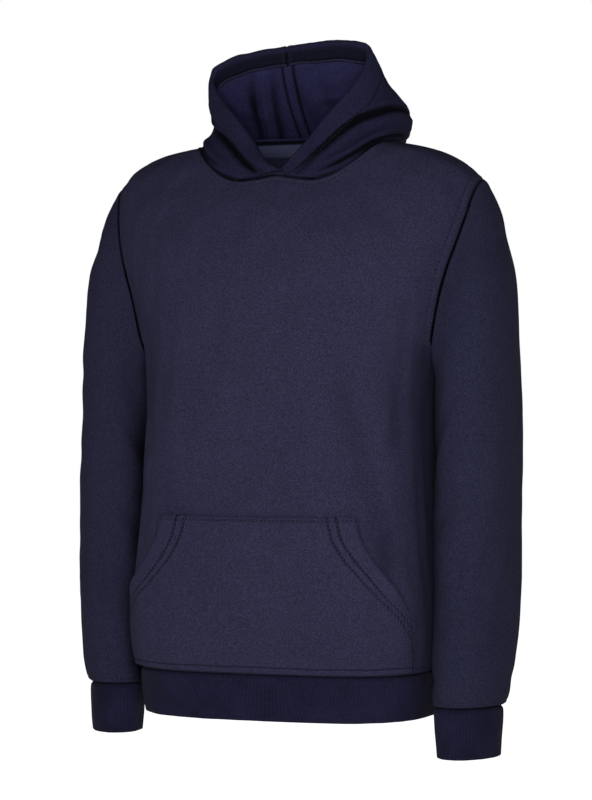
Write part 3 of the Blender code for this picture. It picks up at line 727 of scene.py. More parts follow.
# ---------------------------------------------------------------------------
# Kangaroo pocket. A patch of fleece sewn on along its top, its two short upright ends
# and the waist seam, with its slanted hand edges turned in and twin-needle stitched.
# ---------------------------------------------------------------------------
POCKET_GAP = 0.0010
POCKET_STEPS = (18, 8)
POCKET = (
    # z,    width
    (-28.2,  7.50),
    (-29.4,  7.75),
    (-30.9,  8.40),
    (-32.4,  9.40),
    (-33.8, 10.40),
    (-35.0, 11.05),
    (-37.5, 11.15),
    (-39.8, 11.00),
)
HAND_EDGE_TOP = -28.2
HAND_EDGE_FOOT = -35.0
HAND_HEM = (1.05, 1.55)
HAND_LIFT = 0.30
POCKET_TOPSTITCH = 0.32
POCKET_END_STITCH = 0.30
SLANT_RUN = 0.62


def pocket_grid():
    """The front panel's own surface, as far as the pocket covers it."""
    columns, rows = POCKET_STEPS
    table = np.array(POCKET, float)
    heights = np.linspace(table[-1, 0], table[0, 0], rows + 1)
    half = curve_through(table[:, 0], table[:, 1], heights)
    place = np.linspace(-1.0, 1.0, columns + 1)
    grid = np.zeros((rows + 1, columns + 1, 3))
    for row in range(rows + 1):
        square = float(table_curve(TORSO, 4, heights[row]))
        width = float(table_curve(TORSO, 1, heights[row]))
        edge = math.asin(min(1.0, half[row] / width) ** (square / 2.0))
        x = width * power(np.sin(place * edge), 2.0 / square)
        grid[row] = torso_point(x, np.full(columns + 1, heights[row]), -1)
    return grid


laid = finer(pocket_grid(), close_steps(11.6, POCKET_STEPS[1]),
             close_steps(22.0, POCKET_STEPS[0], coarse=0.2, near=2.6))
normals = grid_normals(laid)
from_foot = run_of(laid, 0)
from_top = from_foot[-1:] - from_foot
side_run = run_of(laid, 1)
height = laid[..., 2]
# The rows are level, so a slanted edge is nearer than the run along a row says.
slant = np.clip((height - HAND_EDGE_FOOT) / 1.5, 0.0, 1.0)
slant = slant * np.clip((HAND_EDGE_TOP + 0.9 - height) / 0.9 + 0.35, 0.35, 1.0)
lean = 1.0 - 0.24 * np.clip((height - HAND_EDGE_FOOT) / 1.5, 0.0, 1.0)
from_edge = np.minimum(side_run, side_run[:, -1:] - side_run) * lean
hand = np.clip((height - HAND_EDGE_FOOT + 0.2) / 0.9, 0.0, 1.0)
sunk = seam_groove(from_top, POCKET_TOPSTITCH) + seam_groove(from_foot, TOPSTITCH)
sunk = sunk + seam_groove(from_edge, POCKET_END_STITCH) * (1.0 - hand)
# Below the hand opening the slanted line runs on until it meets the upright end.
from_slant = from_edge + SLANT_RUN * np.maximum(HAND_EDGE_FOOT - height, 0.0)
for line in HAND_HEM:
    sunk = sunk + seam_groove(from_slant, line, 0.07, 0.065)
# Painted shade in the grooves of the stitching.
painted_shade = sunk / 0.06
hem = 0.06 * hand / (1.0 + np.exp((from_edge - HAND_HEM[1] - 0.1) / 0.06))
round_off = 0.10 * np.exp(-(from_edge / 0.10) ** 2) + 0.10 * np.exp(-(from_top / 0.10) ** 2)
lift = HAND_LIFT * hand * slant * np.exp(-(from_edge / 1.3) ** 2)
sunk = sunk + round_off - hem - soft_drape(laid, 5, size=4.5, depth=0.035)
outer = laid + normals * ((POCKET_GAP + FLEECE) / CM + lift - sunk)[..., None]
under = laid + normals * (POCKET_GAP / CM * 0.5 + lift)[..., None]
pocket_skin = (normals, outer, from_edge, from_slant, from_top, hand)
piece = sew_wall("pocket_patch", outer, under, navy_fleece, painted_shade=painted_shade)
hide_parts("pocket")

# ---------------------------------------------------------------------------
# Waistband and cuffs. Tubes of cotton rib with a little elastane, folded double and
# stretched a little as they are sewn on, so the edge below is a rounded fold.
# ---------------------------------------------------------------------------
RIB = 0.0030
RIB_PITCH = 0.0011
WAISTBAND_STEPS = 44
CUFF_STEPS = 20
WAISTBAND = (
    # z,     width, front, back, square
    (-40.15, 11.50, 9.65, 8.95, 3.5),
    (-40.60, 11.65, 9.75, 9.05, 3.4),
    (-42.00, 11.60, 9.70, 8.95, 3.3),
    (-43.60, 11.40, 9.55, 8.80, 3.2),
)
CUFF = (
    # z,     width, depth
    (-42.19, 2.00,  3.05),
    (-42.60, 2.12,  3.15),
    (-44.00, 2.08,  3.05),
    (-46.00, 1.95,  2.90),
)
CUFF_X = 14.45
CUFF_Y = -2.20
CUFF_TURN = 22.0
CUFF_SQUARE = 2.2
# How high the rib's seam allowance stands inside, how far behind the face it lies, and
# how thick it is.
ALLOWANCE_LEVELS = (0.02, 0.30)
ALLOWANCE_DEPTH = 0.26
ALLOWANCE_THICK = 0.10


def knitted_rib(name, groove, face):
    """Fine one-by-one rib of cotton with elastane: matt and darker than the fleece, with
    upright wales 1.1 mm apart and a painted shade in the grooves between them."""
    material, tree, shader = new_material(name, (
        ("Roughness", 0.88), ("IOR", 1.45), ("Specular IOR Level", 0.08), ("Sheen Weight", 0.01),
        ("Sheen Roughness", 0.5)))
    grain = node(tree, "ShaderNodeUVMap", (("uv_map", "grain"),))
    apart = node(tree, "ShaderNodeSeparateXYZ", links=(("Vector", grain.outputs[0]),))
    turns = node(tree, "ShaderNodeMath", (("operation", "MULTIPLY"),),
                 ((0, apart.outputs["X"]), (1, 2 * math.pi / RIB_PITCH)))
    wale = node(tree, "ShaderNodeMath", (("operation", "SINE"),), ((0, turns.outputs[0]),))
    where = node(tree, "ShaderNodeTexCoord")
    fibres = node(tree, "ShaderNodeTexNoise", links=(("Vector", where.outputs["Object"]),
                  ("Scale", 1100.0), ("Detail", 2.0), ("Roughness", 0.65)))
    washes = node(tree, "ShaderNodeTexNoise", links=(("Vector", where.outputs["Object"]),
                  ("Scale", 45.0), ("Detail", 4.0)))
    height = node(tree, "ShaderNodeMath", (("operation", "MULTIPLY_ADD"),),
                  ((0, wale.outputs[0]), (1, 0.30), (2, fibres.outputs["Fac"])))
    shade = node(tree, "ShaderNodeMath", (("operation", "MULTIPLY_ADD"),),
                 ((0, washes.outputs["Fac"]), (1, 0.50), (2, height.outputs[0])))
    # The wales' sine sets the colour, so the grooves between them carry a painted shade.
    tones = node(tree, "ShaderNodeValToRGB", links=((0, shade.outputs[0]),))
    ramp = tones.color_ramp
    ramp.elements[0].position, ramp.elements[0].color = 0.40, linear(groove)
    ramp.elements[1].position, ramp.elements[1].color = 1.10, linear(face)
    tree.links.new(tones.outputs[0], shader.inputs["Base Color"])
    ridges = node(tree, "ShaderNodeBump", links=(("Height", height.outputs[0]),
                  ("Strength", 0.4), ("Distance", 0.0004)))
    tree.links.new(ridges.outputs[0], shader.inputs["Normal"])
    return material


navy_rib = knitted_rib("navy_cotton_rib", "#02020a", "#1b1a31")


def oval_ring(width, front, back, square, steps):
    """One closed section of a band, seen from above, turning from +X to the back."""
    turn = np.arange(steps) * 2 * math.pi / steps
    x = width * power(np.cos(turn), 2.0 / square)
    reach = power(np.sin(turn), 2.0 / square)
    y = np.where(reach > 0, reach * back, reach * front)
    return x, y


def band_rings(rows, centre, steps, turn):
    """Rings of a rib tube from the top seam down."""
    rings = []
    for height, width, front, back, square in rows:
        x, y = turned(*oval_ring(width, front, back, square, steps), turn)
        rings.append(np.stack([x + centre[0], y + centre[1], np.full(steps, height)], -1))
    return np.array(rings)


def folded_band(name, rows, centre, steps, turn, around, seed):
    """A folded rib tube, its top edge drawn in by the seam and its foot a rounded fold."""
    thick = RIB / CM
    rings = band_rings(rows, centre, steps, turn)
    length = rows[0][0] - rows[-1][0]
    row_places = close_steps(length, len(rows) - 1, coarse=0.12, fine=0.04, near=0.5)
    column_places = np.arange(0.0, steps, steps / around)
    outer = finer(rings, row_places, column_places, ring=True)
    normals = grid_normals(outer, ring=True)
    outside = np.sign((normals * (outer - outer.mean(axis=(0, 1)))).sum(axis=-1).mean())
    normals = normals * outside
    run = run_of(outer, 0)
    left = run[-1:] - run
    fold = thick / 2
    tuck = np.where(left < fold, fold - np.sqrt(np.maximum(fold**2 - (fold - left) ** 2, 0.0)), 0.0)
    lip = 0.06 * np.exp(-(run / 0.12) ** 2)
    wavy = soft_drape(outer, seed, size=3.2, depth=0.035) * np.clip(run / 0.8, 0.0, 1.0)
    skin = outer - normals * (tuck + lip - wavy)[..., None]
    inner = outer - normals * (thick - tuck * 0.9)[..., None]
    # The seam allowance stands up inside the fleece.
    for up in ALLOWANCE_LEVELS:
        raised = outer[:1] + (0.0, 0.0, up)
        skin = np.concatenate([raised - normals[:1] * ALLOWANCE_DEPTH, skin])
        inner = np.concatenate([raised - normals[:1] * (ALLOWANCE_DEPTH + ALLOWANCE_THICK), inner])
    return sew_wall(name, skin[::-1], inner[::-1], navy_rib, ring=True)


piece = folded_band("waistband_rib", WAISTBAND, (0.0, RIDGE_Y), WAISTBAND_STEPS, 0.0, 300, 31)
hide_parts("waistband")
for side, name, seed in ((1, "left", 41), (-1, "right", 43)):
    rows = []
    for height, half_width, half_depth in CUFF:
        rows.append((height + SLEEVE_DROP[name], half_width, half_depth, half_depth, CUFF_SQUARE))
    piece = folded_band("cuff_rib_" + name, rows, (side * CUFF_X, CUFF_Y), CUFF_STEPS,
                        -side * CUFF_TURN, 110, seed)
    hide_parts("cuff_" + name)

# ---------------------------------------------------------------------------
# Hood. Two halves of fleece and a lining of the same cloth, joined over the crown. The
# mouth's edge is turned in and stitched down as a hem 14 to 21 mm deep, whose raw edge
# inside is overlocked, and the right half laps over the left at the front of the neck.
# ---------------------------------------------------------------------------
LINING = 0.0014
HOOD = (
    # x_front, width, y_side, z_side, y_back, z_back, y_round, z_round, z_fall, y_fall
    (3.00,     7.80,   0.30,   0.45,   5.35,   1.05,  2.2,     1.40,    1.7,    1.2),
    (2.85,     8.05,   1.00,   0.95,   7.20,  -0.90,  2.2,     1.40,    1.7,    1.2),
    (2.65,     8.10,   1.60,   1.60,   9.30,  -4.00,  2.1,     1.40,    1.7,    1.2),
    (2.45,     7.90,   1.70,   2.30,  10.45,  -2.10,  2.0,     1.40,    1.7,    1.2),
    (2.25,     7.35,   1.20,   2.90,   9.00,   0.70,  1.9,     1.40,    1.6,    1.1),
    (1.95,     7.15,   0.40,   3.60,   5.90,   3.00,  1.8,     1.38,    1.4,    0.95),
    (1.50,     6.90,  -0.60,   4.30,   1.90,   5.40,  1.6,     1.36,    1.0,    0.70),
    (0.60,     6.75,  -1.50,   5.30,  -0.90,   7.30,  1.5,     1.35,    0.62,   0.60),
    (-0.35,    6.30,  -2.00,   6.00,  -1.60,   7.50,  1.4,     1.33,    0.55,   0.60),
)
HOOD_BACK_SWEEP = 0.80
NECK_GAP = 0.09
NECK_FADE = 0.70
ROLL_CLEARANCE = 0.45
ROLL_START = 9.0
ROLL_RISE = 0.06
HOOD_SMOOTHING = 4
LIFT_BELOW = 1.2
NORMAL_SMOOTHING = 5
HOOD_LEAN = 0.10
HOOD_LAP = 0.60
HOOD_LAP_RISE = 0.25
HOOD_LAP_REACH = 1.6
HOOD_LEVELS = 60
HOOD_STEPS = (18, 15)
# How far the hem's stitching lies from the mouth's edge, from the front to the crown.
HEM_LINE = (
    # column, distance
    (0.0,  1.35),
    (3.0,  1.45),
    (5.0,  1.70),
    (7.5,  2.10),
    (18.0, 2.10),
)
HEM_FOLD = 0.45
NECK_ALLOWANCE = 0.30
# How deep the painted shade is on the hem inside, over the crown.
PAINTED_CROWN_HEM_SHADE = 0.5
HEM_CORE = 0.02
OVERLOCK = 0.30
# How far the mouth's edge stands up out of the pattern's rings, from front to crown.
RIM_LIFT = (
    # column, lift, outward
    (0.0,  0.35, 0.00),
    (1.5,  0.60, 0.05),
    (3.0,  0.75, 0.10),
    (4.5,  0.65, 0.20),
    (6.0,  0.35, 0.35),
    (7.5,  0.25, 0.45),
    (10.0, 0.35, 0.45),
    (12.0, 0.50, 0.35),
    (18.0, 0.60, 0.25),
)
# How far the crown seam leans towards the wearer's right, from the neck to the mouth.
CROWN_SWAY = (
    # level, sway
    (0.00, 0.00),
    (0.05, 0.75),
    (0.12, 1.45),
    (0.30, 2.10),
    (0.60, 2.05),
    (0.85, 1.25),
    (1.00, 0.25),
)
# The roll behind the neck stands out over the left shoulder and is drawn in over the right.
NECK_ROLL = {1: 0.65, -1: -1.05}
# Creases of each half, in the pattern's steps: width, depth, and the places along it.
HOOD_CREASES = {
    1: (
        # width, depth, (column, row) ...
        (0.30, 0.62, ((10.2, 4.4), (8.4, 6.4), (7.0, 8.2), (5.5, 9.9), (4.2, 10.3), (2.6, 10.2), (0.9, 9.2))),
        (0.24, 0.45, ((10.4, 1.2), (8.0, 1.2), (5.1, 1.4), (3.1, 2.4), (1.4, 3.4))),
        (0.80, 0.35, ((11.5, 5.0), (13.6, 6.4), (16.0, 7.6))),
        (0.60, 0.22, ((12.8, 9.4), (15.0, 10.6), (17.2, 11.0))),
    ),
    -1: (
        (0.24, 0.52, ((6.6, 8.2), (5.2, 9.0), (4.0, 9.4), (2.9, 9.4), (1.4, 9.0), (0.3, 8.6))),
        (0.13, 0.12, ((3.9, 11.4), (3.1, 10.0), (2.5, 7.8))),
        (0.24, 0.30, ((8.6, 1.4), (6.2, 1.3), (4.2, 1.6), (2.4, 2.4))),
        (0.75, 0.32, ((12.0, 4.4), (14.0, 5.8), (16.4, 6.8))),
        (0.60, 0.24, ((13.0, 10.2), (15.2, 9.8), (17.0, 10.8))),
    ),
}
# Ridges that stand in from the lining of each half.
LINING_RIDGES = {
    1: ((0.50, -0.20, ((17.0, 12.6), (16.7, 10.0), (16.3, 7.6))),),
    -1: (
        (0.40, -0.50, ((16.5, 13.6), (16.2, 11.4), (15.9, 9.0), (15.4, 7.0), (14.8, 6.0))),
        (0.60, -0.14, ((13.0, 11.4), (12.6, 9.4), (12.0, 7.6))),
    ),
}


def rest_of(sweep, roundness):
    """The other side of a rounded corner: 1 where the sweep is 0, and 0 where it is 1."""
    return np.clip(1.0 - sweep**roundness, 0.0, 1.0) ** (1.0 / roundness)


def neck_seam(x, behind):
    """Points just above the neckline edge of the front or the back panel."""
    points = np.zeros((len(x), 3))
    points[:, 0] = x
    front = neckline(FRONT_NECK, -1, FRONT_STEPS[0])
    back = neckline(BACK_NECK, 1, BACK_STEPS[0])
    for axis in (1, 2):
        in_front = np.interp(np.abs(x), front[:, 0], front[:, axis])
        at_back = np.interp(np.abs(x), back[:, 0], back[:, axis])
        points[:, axis] = np.where(behind, at_back, in_front)
    points[:, 2] += NECK_GAP
    return points


def lift_off_torso(points, clearance):
    """Move hood points that lie too near the shoulders straight out from them."""
    for face in (-1, 1, -1, 1):
        x, y, z = points[..., 0], points[..., 1], points[..., 2]
        on_this_face = (face * (y - RIDGE_Y) > 0) & (np.abs(x) < table_curve(TORSO, 1, z))
        below_neck = z < LIFT_BELOW
        normal = torso_normal(x, z, face)
        height = ((points - torso_point(x, z, face)) * normal).sum(axis=-1)
        push = np.where(on_this_face & below_neck, np.maximum(clearance - height, 0.0), 0.0)
        points = points + normal * push[..., None]
    return points


def evenly_spaced(grid, rows):
    """The same surface with its rows at equal steps along every column."""
    spaced = np.zeros((rows + 1, *grid.shape[1:]))
    for column in range(grid.shape[1]):
        steps = np.linalg.norm(np.diff(grid[:, column], axis=0), axis=-1)
        run = np.concatenate([[0.0], np.cumsum(steps)])
        wanted = np.linspace(0.0, run[-1], rows + 1)
        for axis in range(3):
            spaced[:, column, axis] = np.interp(wanted, run, grid[:, column, axis])
    return spaced


def hood_grid(side):
    """The outer surface of one hood half: rows from the neck seam up to the mouth."""
    columns, rows = HOOD_STEPS
    table = np.array(HOOD, float)
    knots = np.arange(len(table))
    turn = np.linspace(0.0, math.pi, columns + 1)
    turn[-1] = math.pi - 1e-9
    ahead = turn <= math.pi / 2
    levels = np.linspace(0.0, 1.0, HOOD_LEVELS + 1)
    grid = np.zeros((len(levels), columns + 1, 3))
    for row, level in enumerate(levels):
        values = curve_through(knots, table, level * knots[-1])
        x_front, width, y_side, z_side, y_back, z_back = values[:6]
        y_round, z_round, z_fall, y_fall = values[6:]
        sweep = np.sin(turn) ** np.where(ahead, 1.0, HOOD_BACK_SWEEP)
        past = np.abs(np.cos(turn))
        y_rest = np.where(ahead, rest_of(sweep, y_round), past**y_fall)
        z_rest = np.where(ahead, rest_of(sweep, z_round), past**z_fall)
        start = neck_seam(np.array([abs(x_front)]), np.array([False]))[0]
        end_y = np.where(ahead, start[1], y_back)
        end_z = np.where(ahead, start[2], z_back)
        x = np.where(ahead, x_front + (width - x_front) * sweep, width * sweep)
        y = y_side + (end_y - y_side) * y_rest
        z = z_side + (end_z - z_side) * z_rest
        grid[row] = np.stack([x, y, z], axis=-1)
    difference = neck_seam(grid[0, :, 0], ~ahead) - grid[0]
    from_front = np.arange(columns + 1) / columns
    for row, level in enumerate(levels):
        fade = max(0.0, 1.0 - level / NECK_FADE)
        grid[row] += difference * fade * fade * (3.0 - 2.0 * fade)
        clearance = ROLL_CLEARANCE * np.clip(from_front * ROLL_START, 0.0, 1.0)
        clearance = clearance * min(1.0, level / ROLL_RISE)
        if row:
            grid[row] = lift_off_torso(grid[row], clearance)
    for row, level in enumerate(levels):
        rest = np.where(ahead, np.abs(np.cos(turn)), 0.0)
        grid[row, :, 2] += HOOD_LEAN * side * grid[row, :, 0] * level * (1.0 - rest)
        if side < 0:
            lap = np.exp(-((grid[row, :, 0] / HOOD_LAP_REACH) ** 2)) * ahead * level
            grid[row, :, 1] -= HOOD_LAP * lap
            grid[row, :, 2] += HOOD_LAP_RISE * lap
    grid = evenly_spaced(grid, rows)
    for _ in range(HOOD_SMOOTHING):
        beside = grid[1:-1, :-2] + grid[1:-1, 2:] + grid[:-2, 1:-1] + grid[2:, 1:-1]
        grid[1:-1, 1:-1] = grid[1:-1, 1:-1] / 2 + beside / 8
        grid[1:-1, -1] = grid[1:-1, -1] / 2 + (grid[:-2, -1] + grid[2:, -1]) / 4
    grid[:, -1, 0] = SEAM_GAP / CM / 2
    grid[:, :, 0] *= side
    return grid


def settled_normals(grid, side):
    """The hood's outward directions, evened out over the tight turn at the neck."""
    normals = grid_normals(grid) * side
    normals[0, 0] = normals[1, 1]
    for _ in range(NORMAL_SMOOTHING):
        wide = np.pad(normals, ((1, 1), (1, 1), (0, 0)), mode="edge")
        beside = wide[1:-1, :-2] + wide[1:-1, 2:] + wide[:-2, 1:-1] + wide[2:, 1:-1]
        normals = unit(normals + beside / 2)
    normals[:, -1, 0] = 0.0
    return unit(normals)


def styled_hood(side):
    """The hood's surface with the mouth's edge lifted and the crown seam swayed over."""
    grid = hood_grid(side)
    columns, rows = HOOD_STEPS
    lift = table_curve(RIM_LIFT, 1, np.arange(columns + 1.0))
    upward = unit(grid[-1] - grid[-2])
    level = np.arange(rows + 1.0)[:, None] / rows
    grid = grid + upward[None] * (lift[None] * level**2)[..., None]
    outward = table_curve(RIM_LIFT, 2, np.arange(columns + 1.0))[None] * np.sin(level * math.pi / 2)
    grid = grid + settled_normals(grid, side) * outward[..., None]
    behind = np.clip((np.arange(columns + 1.0) - columns / 2) / (columns / 2), 0.0, 1.0)
    roll = np.sin(np.pi * np.clip((np.arange(columns + 1.0) - 3.5) / 11.0, 0.0, 1.0)) ** 2
    roll = roll * np.sin(np.pi * np.clip(level / 0.75, 0.0, 1.0)) ** 1.5
    grid[..., 0] += side * NECK_ROLL[side] * roll
    grid[..., 0] -= table_curve(CROWN_SWAY, 1, level) * np.sin(behind * math.pi / 2) ** 3
    grid[:, -1, 0] = -table_curve(CROWN_SWAY, 1, level[:, 0])
    return grid


def read_columns(dense, dense_normals, wanted):
    """Points and directions at the wanted distances up every column."""
    run = run_of(dense, 0)
    points = np.zeros((*wanted.shape, 3))
    normals = np.zeros_like(points)
    for column in range(dense.shape[1]):
        for axis in range(3):
            points[:, column, axis] = np.interp(wanted[:, column], run[:, column], dense[:, column, axis])
            normals[:, column, axis] = np.interp(
                wanted[:, column], run[:, column], dense_normals[:, column, axis])
    return points, unit(normals)


def crease(points, grid, path, width, depth):
    """How deep a crease draws the cloth in: it fades out at both ends, and the cloth
    swells a little beside it."""
    path = np.array(path, float)
    steps = np.linspace(0.0, len(path) - 1.0, 40)
    places = [[curve_through(np.arange(len(path)), path[:, axis], at) for axis in (0, 1)] for at in steps]
    line = np.array([finer(grid, [row], np.array([column]))[0, 0] for column, row in places])
    away = np.linalg.norm(points[:, :, None] - line, axis=-1)
    nearest = away.argmin(axis=-1)
    away = away.min(axis=-1)
    fade = np.sin(np.pi * np.clip(nearest / 39, 0.02, 0.98)) ** 0.6
    pull = np.exp(-((away / width) ** 2))
    swell = np.exp(-(((away - 2.0 * width) / (1.1 * width)) ** 2))
    return depth * fade * (pull - 0.30 * swell)


# The hood's fleece is a much darker copy of the body's: painted shade over the hood.
hood_fleece = brushed_fleece("hood_brushed_fleece_painted_shade", "#0f0f22", "#141426", "#1d1c32", 0.01)
lining_fleece = brushed_fleece("hood_lining_jersey", "#1a1934", "#21203f", "#2e2d4e", 0.02)
hoods = {}
for side, name in ((1, "left"), (-1, "right")):
    grid = styled_hood(side)
    directions = settled_normals(grid, side)
    column_places = close_steps(20.0, HOOD_STEPS[0], coarse=0.20)
    dense_rows = np.linspace(0.0, HOOD_STEPS[1], 181)
    dense = finer(grid, dense_rows, column_places)
    dense_normals = finer(directions, dense_rows, column_places)
    length = run_of(dense, 0)[-1]
    turned = table_curve(HEM_LINE, 1, column_places)
    hem = length - turned
    half = HEM_FOLD / 2
    wanted = np.concatenate([
        np.linspace(np.zeros_like(hem), np.full_like(hem, 0.36), 7)[:-1],
        np.linspace(np.full_like(hem, 0.36), hem - 0.28, 52)[:-1],
        np.linspace(hem - 0.28, hem + 0.24, 11)[:-1],
        np.linspace(hem + 0.24, length - half, 13),
    ])
    outer, normals = read_columns(dense, dense_normals, wanted)
    from_front = run_of(outer, 1)
    from_crown = from_front[:, -1:] - from_front
    sunk = seam_groove(wanted - hem, 0.0, 0.10, 0.07)
    sunk = sunk + seam_groove(wanted, 0.0, 0.08, 0.12) + seam_groove(from_front, 0.0, 0.08, 0.12)
    sunk = sunk + seam_groove(from_crown, 0.0, 0.07, 0.10)
    folds = np.zeros_like(sunk)
    # Painted shade in the seams' grooves and along the creases.
    painted_shade = sunk / 0.09
    near_crown = np.exp(-((from_crown / 1.2) ** 2))
    in_hem = np.clip((wanted - hem + 0.30) / 0.33, 0.0, 1.0)
    for width, depth, path in HOOD_CREASES[side]:
        fold = crease(outer, grid, path, width, depth)
        folds = folds + fold * (1.0 - near_crown)
        painted_shade = painted_shade + fold / 0.22 * min(1.0, 0.3 / width) ** 2
    folds = folds * (1.0 - 0.85 * in_hem)
    quiet = np.clip(np.minimum(np.minimum(wanted, from_front), from_crown) / 1.5, 0.0, 1.0)
    sunk = sunk + folds - soft_drape(outer, 51 + side, size=4.0, depth=0.05) * quiet
    skin = outer - normals * sunk[..., None]
    back_of_skin = outer - normals * (FLEECE / CM + np.maximum(sunk, 0.0))[..., None]
    edge_out = normals[-1]
    edge_up = unit(outer[-1] - outer[-2])
    middle = skin[-1] - edge_out * half
    turns = np.linspace(0.0, math.pi, 9)[1:]
    edge, in_edge = [
        np.array([middle + radius * (math.cos(a) * edge_out + math.sin(a) * edge_up) for a in turns])
        for radius in (half, HEM_CORE)]
    foot = turned - OVERLOCK - half
    down = np.concatenate([np.linspace(np.full_like(foot, 0.08), foot, 11),
                           np.linspace(foot + 0.04, foot + OVERLOCK + 0.12, 8)])
    inward, inward_normals = read_columns(dense, dense_normals, length - half - down)
    inward_crown = run_of(inward, 1)[:, -1:] - run_of(inward, 1)
    bead = np.sin(np.pi * np.clip((down - foot) / (OVERLOCK + 0.16), 0.0, 1.0)) ** 0.5
    still = np.clip(inward_crown / 1.5, 0.0, 1.0)
    shift = -soft_drape(inward, 51 + side, size=4.0, depth=0.05) * still
    low = np.clip((down - foot + 0.4) / 0.8, 0.0, 1.0)
    face = HEM_FOLD + 0.035 * low + 0.05 * bead + shift * (1.0 - 0.2 * low)
    rear = 0.24 + 0.155 * low + shift * (1.0 - 0.2 * low)
    facing = inward - inward_normals * face[..., None]
    behind_facing = inward - inward_normals * rear[..., None]
    # The neck seam's allowance hangs down inside the panels' edge.
    tucked = outer[:1] - normals[:1] * 0.06 - (0.0, 0.0, NECK_ALLOWANCE)
    shell_out = np.concatenate([tucked, skin, edge, facing])
    shell_in = np.concatenate([tucked - normals[:1] * 0.10, back_of_skin, in_edge, behind_facing])
    overlock_line = facing[-5], -inward_normals[-5]
    # Painted shade along the crown seam's groove and under the foot of the overlocked edge.
    edge_line = np.broadcast_to(seam_groove(inward_crown, 0.0, 0.07, 0.10) / 0.07, inward.shape[:2])
    foot_line = 0.8 * np.exp(-(((down - foot + 0.02) / 0.07) ** 2))
    # Inside, over the crown, the hem carries a painted shade.
    painted_crown_shade = PAINTED_CROWN_HEM_SHADE * np.clip((column_places - 7.0) / 4.0, 0.0, 1.0)
    inside_painted_shade = edge_line + foot_line + painted_crown_shade * np.clip(down / 0.5, 0.0, 1.0)
    painted_shade = np.concatenate([painted_shade[:1], painted_shade, np.zeros(edge.shape[:2]), inside_painted_shade])
    if side < 0:
        shell_out, shell_in, painted_shade = shell_out[:, ::-1], shell_in[:, ::-1], painted_shade[:, ::-1]
    piece = sew_wall("hood_fleece_" + name, shell_out, shell_in, hood_fleece, painted_shade=painted_shade)
    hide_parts("hood_" + name)

    reach = hem + 0.55
    wanted_in = np.concatenate([np.linspace(np.zeros_like(reach), np.full_like(reach, 0.3), 4)[:-1],
                                np.linspace(np.full_like(reach, 0.3), reach, 56)])
    under, under_normals = read_columns(dense, dense_normals, wanted_in)
    side_run = run_of(under, 1)
    to_crown = side_run[:, -1:] - side_run
    deep = np.zeros(under.shape[:2])
    for width, depth, path in HOOD_CREASES[side]:
        deep = deep + np.maximum(crease(under, grid, path, width, depth), 0.0)
    by_crown = np.clip(to_crown / 1.5, 0.0, 1.0)
    still = 1.0 - np.clip((wanted_in - hem + 0.20) / 0.24, 0.0, 1.0)
    raised = 0.13 * np.exp(-((to_crown / 0.24) ** 2))
    painted_ridge_shade = np.zeros(under.shape[:2])
    for width, depth, path in LINING_RIDGES[side]:
        ridge = crease(under, grid, path, width, depth)
        raised = raised + np.maximum(-ridge, 0.0)
        painted_ridge_shade = painted_ridge_shade + np.maximum(ridge, 0.0)
    drape = np.maximum(-soft_drape(under, 51 + side, size=4.0, depth=0.05) * by_crown, -0.02)
    deep = deep * (1.0 - np.exp(-((to_crown / 1.2) ** 2)))
    base = (FLEECE + SEAM_GAP) / CM + (deep + drape) * still
    lining_out = under - under_normals * base[..., None]
    # Painted shade beside the crown seam's tape and along the lining's ridges.
    painted_shade = np.exp(-(((to_crown - 0.46) / 0.13) ** 2)) * still
    painted_shade = painted_shade + painted_ridge_shade / 0.16
    lining_face = base + LINING / CM + raised * still
    lining_in = under - under_normals * lining_face[..., None]
    hoods[name] = (normals, skin, wanted, hem, overlock_line)
    if side < 0:
        lining_out, lining_in, painted_shade = lining_out[:, ::-1], lining_in[:, ::-1], painted_shade[:, ::-1]
    piece = sew_wall("hood_lining_fleece_" + name, lining_in[:, ::-1], lining_out[:, ::-1],
                     lining_fleece, painted_shade=painted_shade[:, ::-1])
    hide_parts("hood_lining_" + name)

# ---------------------------------------------------------------------------
# Neck tape. A pale cotton strip inside the back panel, just below the neck seam and
# most of the way from shoulder to shoulder.
# ---------------------------------------------------------------------------
TAPE_THICK = 0.08
NECK_TAPE_REACH = 6.4
NECK_TAPE_DEPTH = 1.15


def cotton_twill(name, deep, light):
    """Cotton twill tape: matt, its fine diagonal lines about 1.3 mm apart."""
    material, tree, shader = new_material(name, (("Roughness", 0.85), ("Specular IOR Level", 0.12)))
    grain = node(tree, "ShaderNodeUVMap", (("uv_map", "grain"),))
    lines = node(tree, "ShaderNodeTexWave", (("bands_direction", "DIAGONAL"),),
                 (("Vector", grain.outputs[0]), ("Scale", 350.0), ("Distortion", 1.0), ("Detail", 2.0)))
    tones = node(tree, "ShaderNodeValToRGB", links=((0, lines.outputs["Fac"]),))
    tones.color_ramp.elements[0].color = linear(deep)
    tones.color_ramp.elements[1].color = linear(light)
    tree.links.new(tones.outputs[0], shader.inputs["Base Color"])
    weave = node(tree, "ShaderNodeBump", links=(("Height", lines.outputs["Fac"]),
                 ("Strength", 0.3), ("Distance", 0.0002)))
    tree.links.new(weave.outputs[0], shader.inputs["Normal"])
    return material


def line_where(distance, at, *grids):
    """Read grids along the line where a distance that grows down the columns is reached."""
    lines = [np.zeros((distance.shape[1], 3)) for _ in grids]
    for column in range(distance.shape[1]):
        order = np.argsort(distance[:, column])
        for line, grid in zip(lines, grids):
            for axis in range(3):
                line[column, axis] = np.interp(at, distance[order, column], grid[order, column, axis])
    return lines


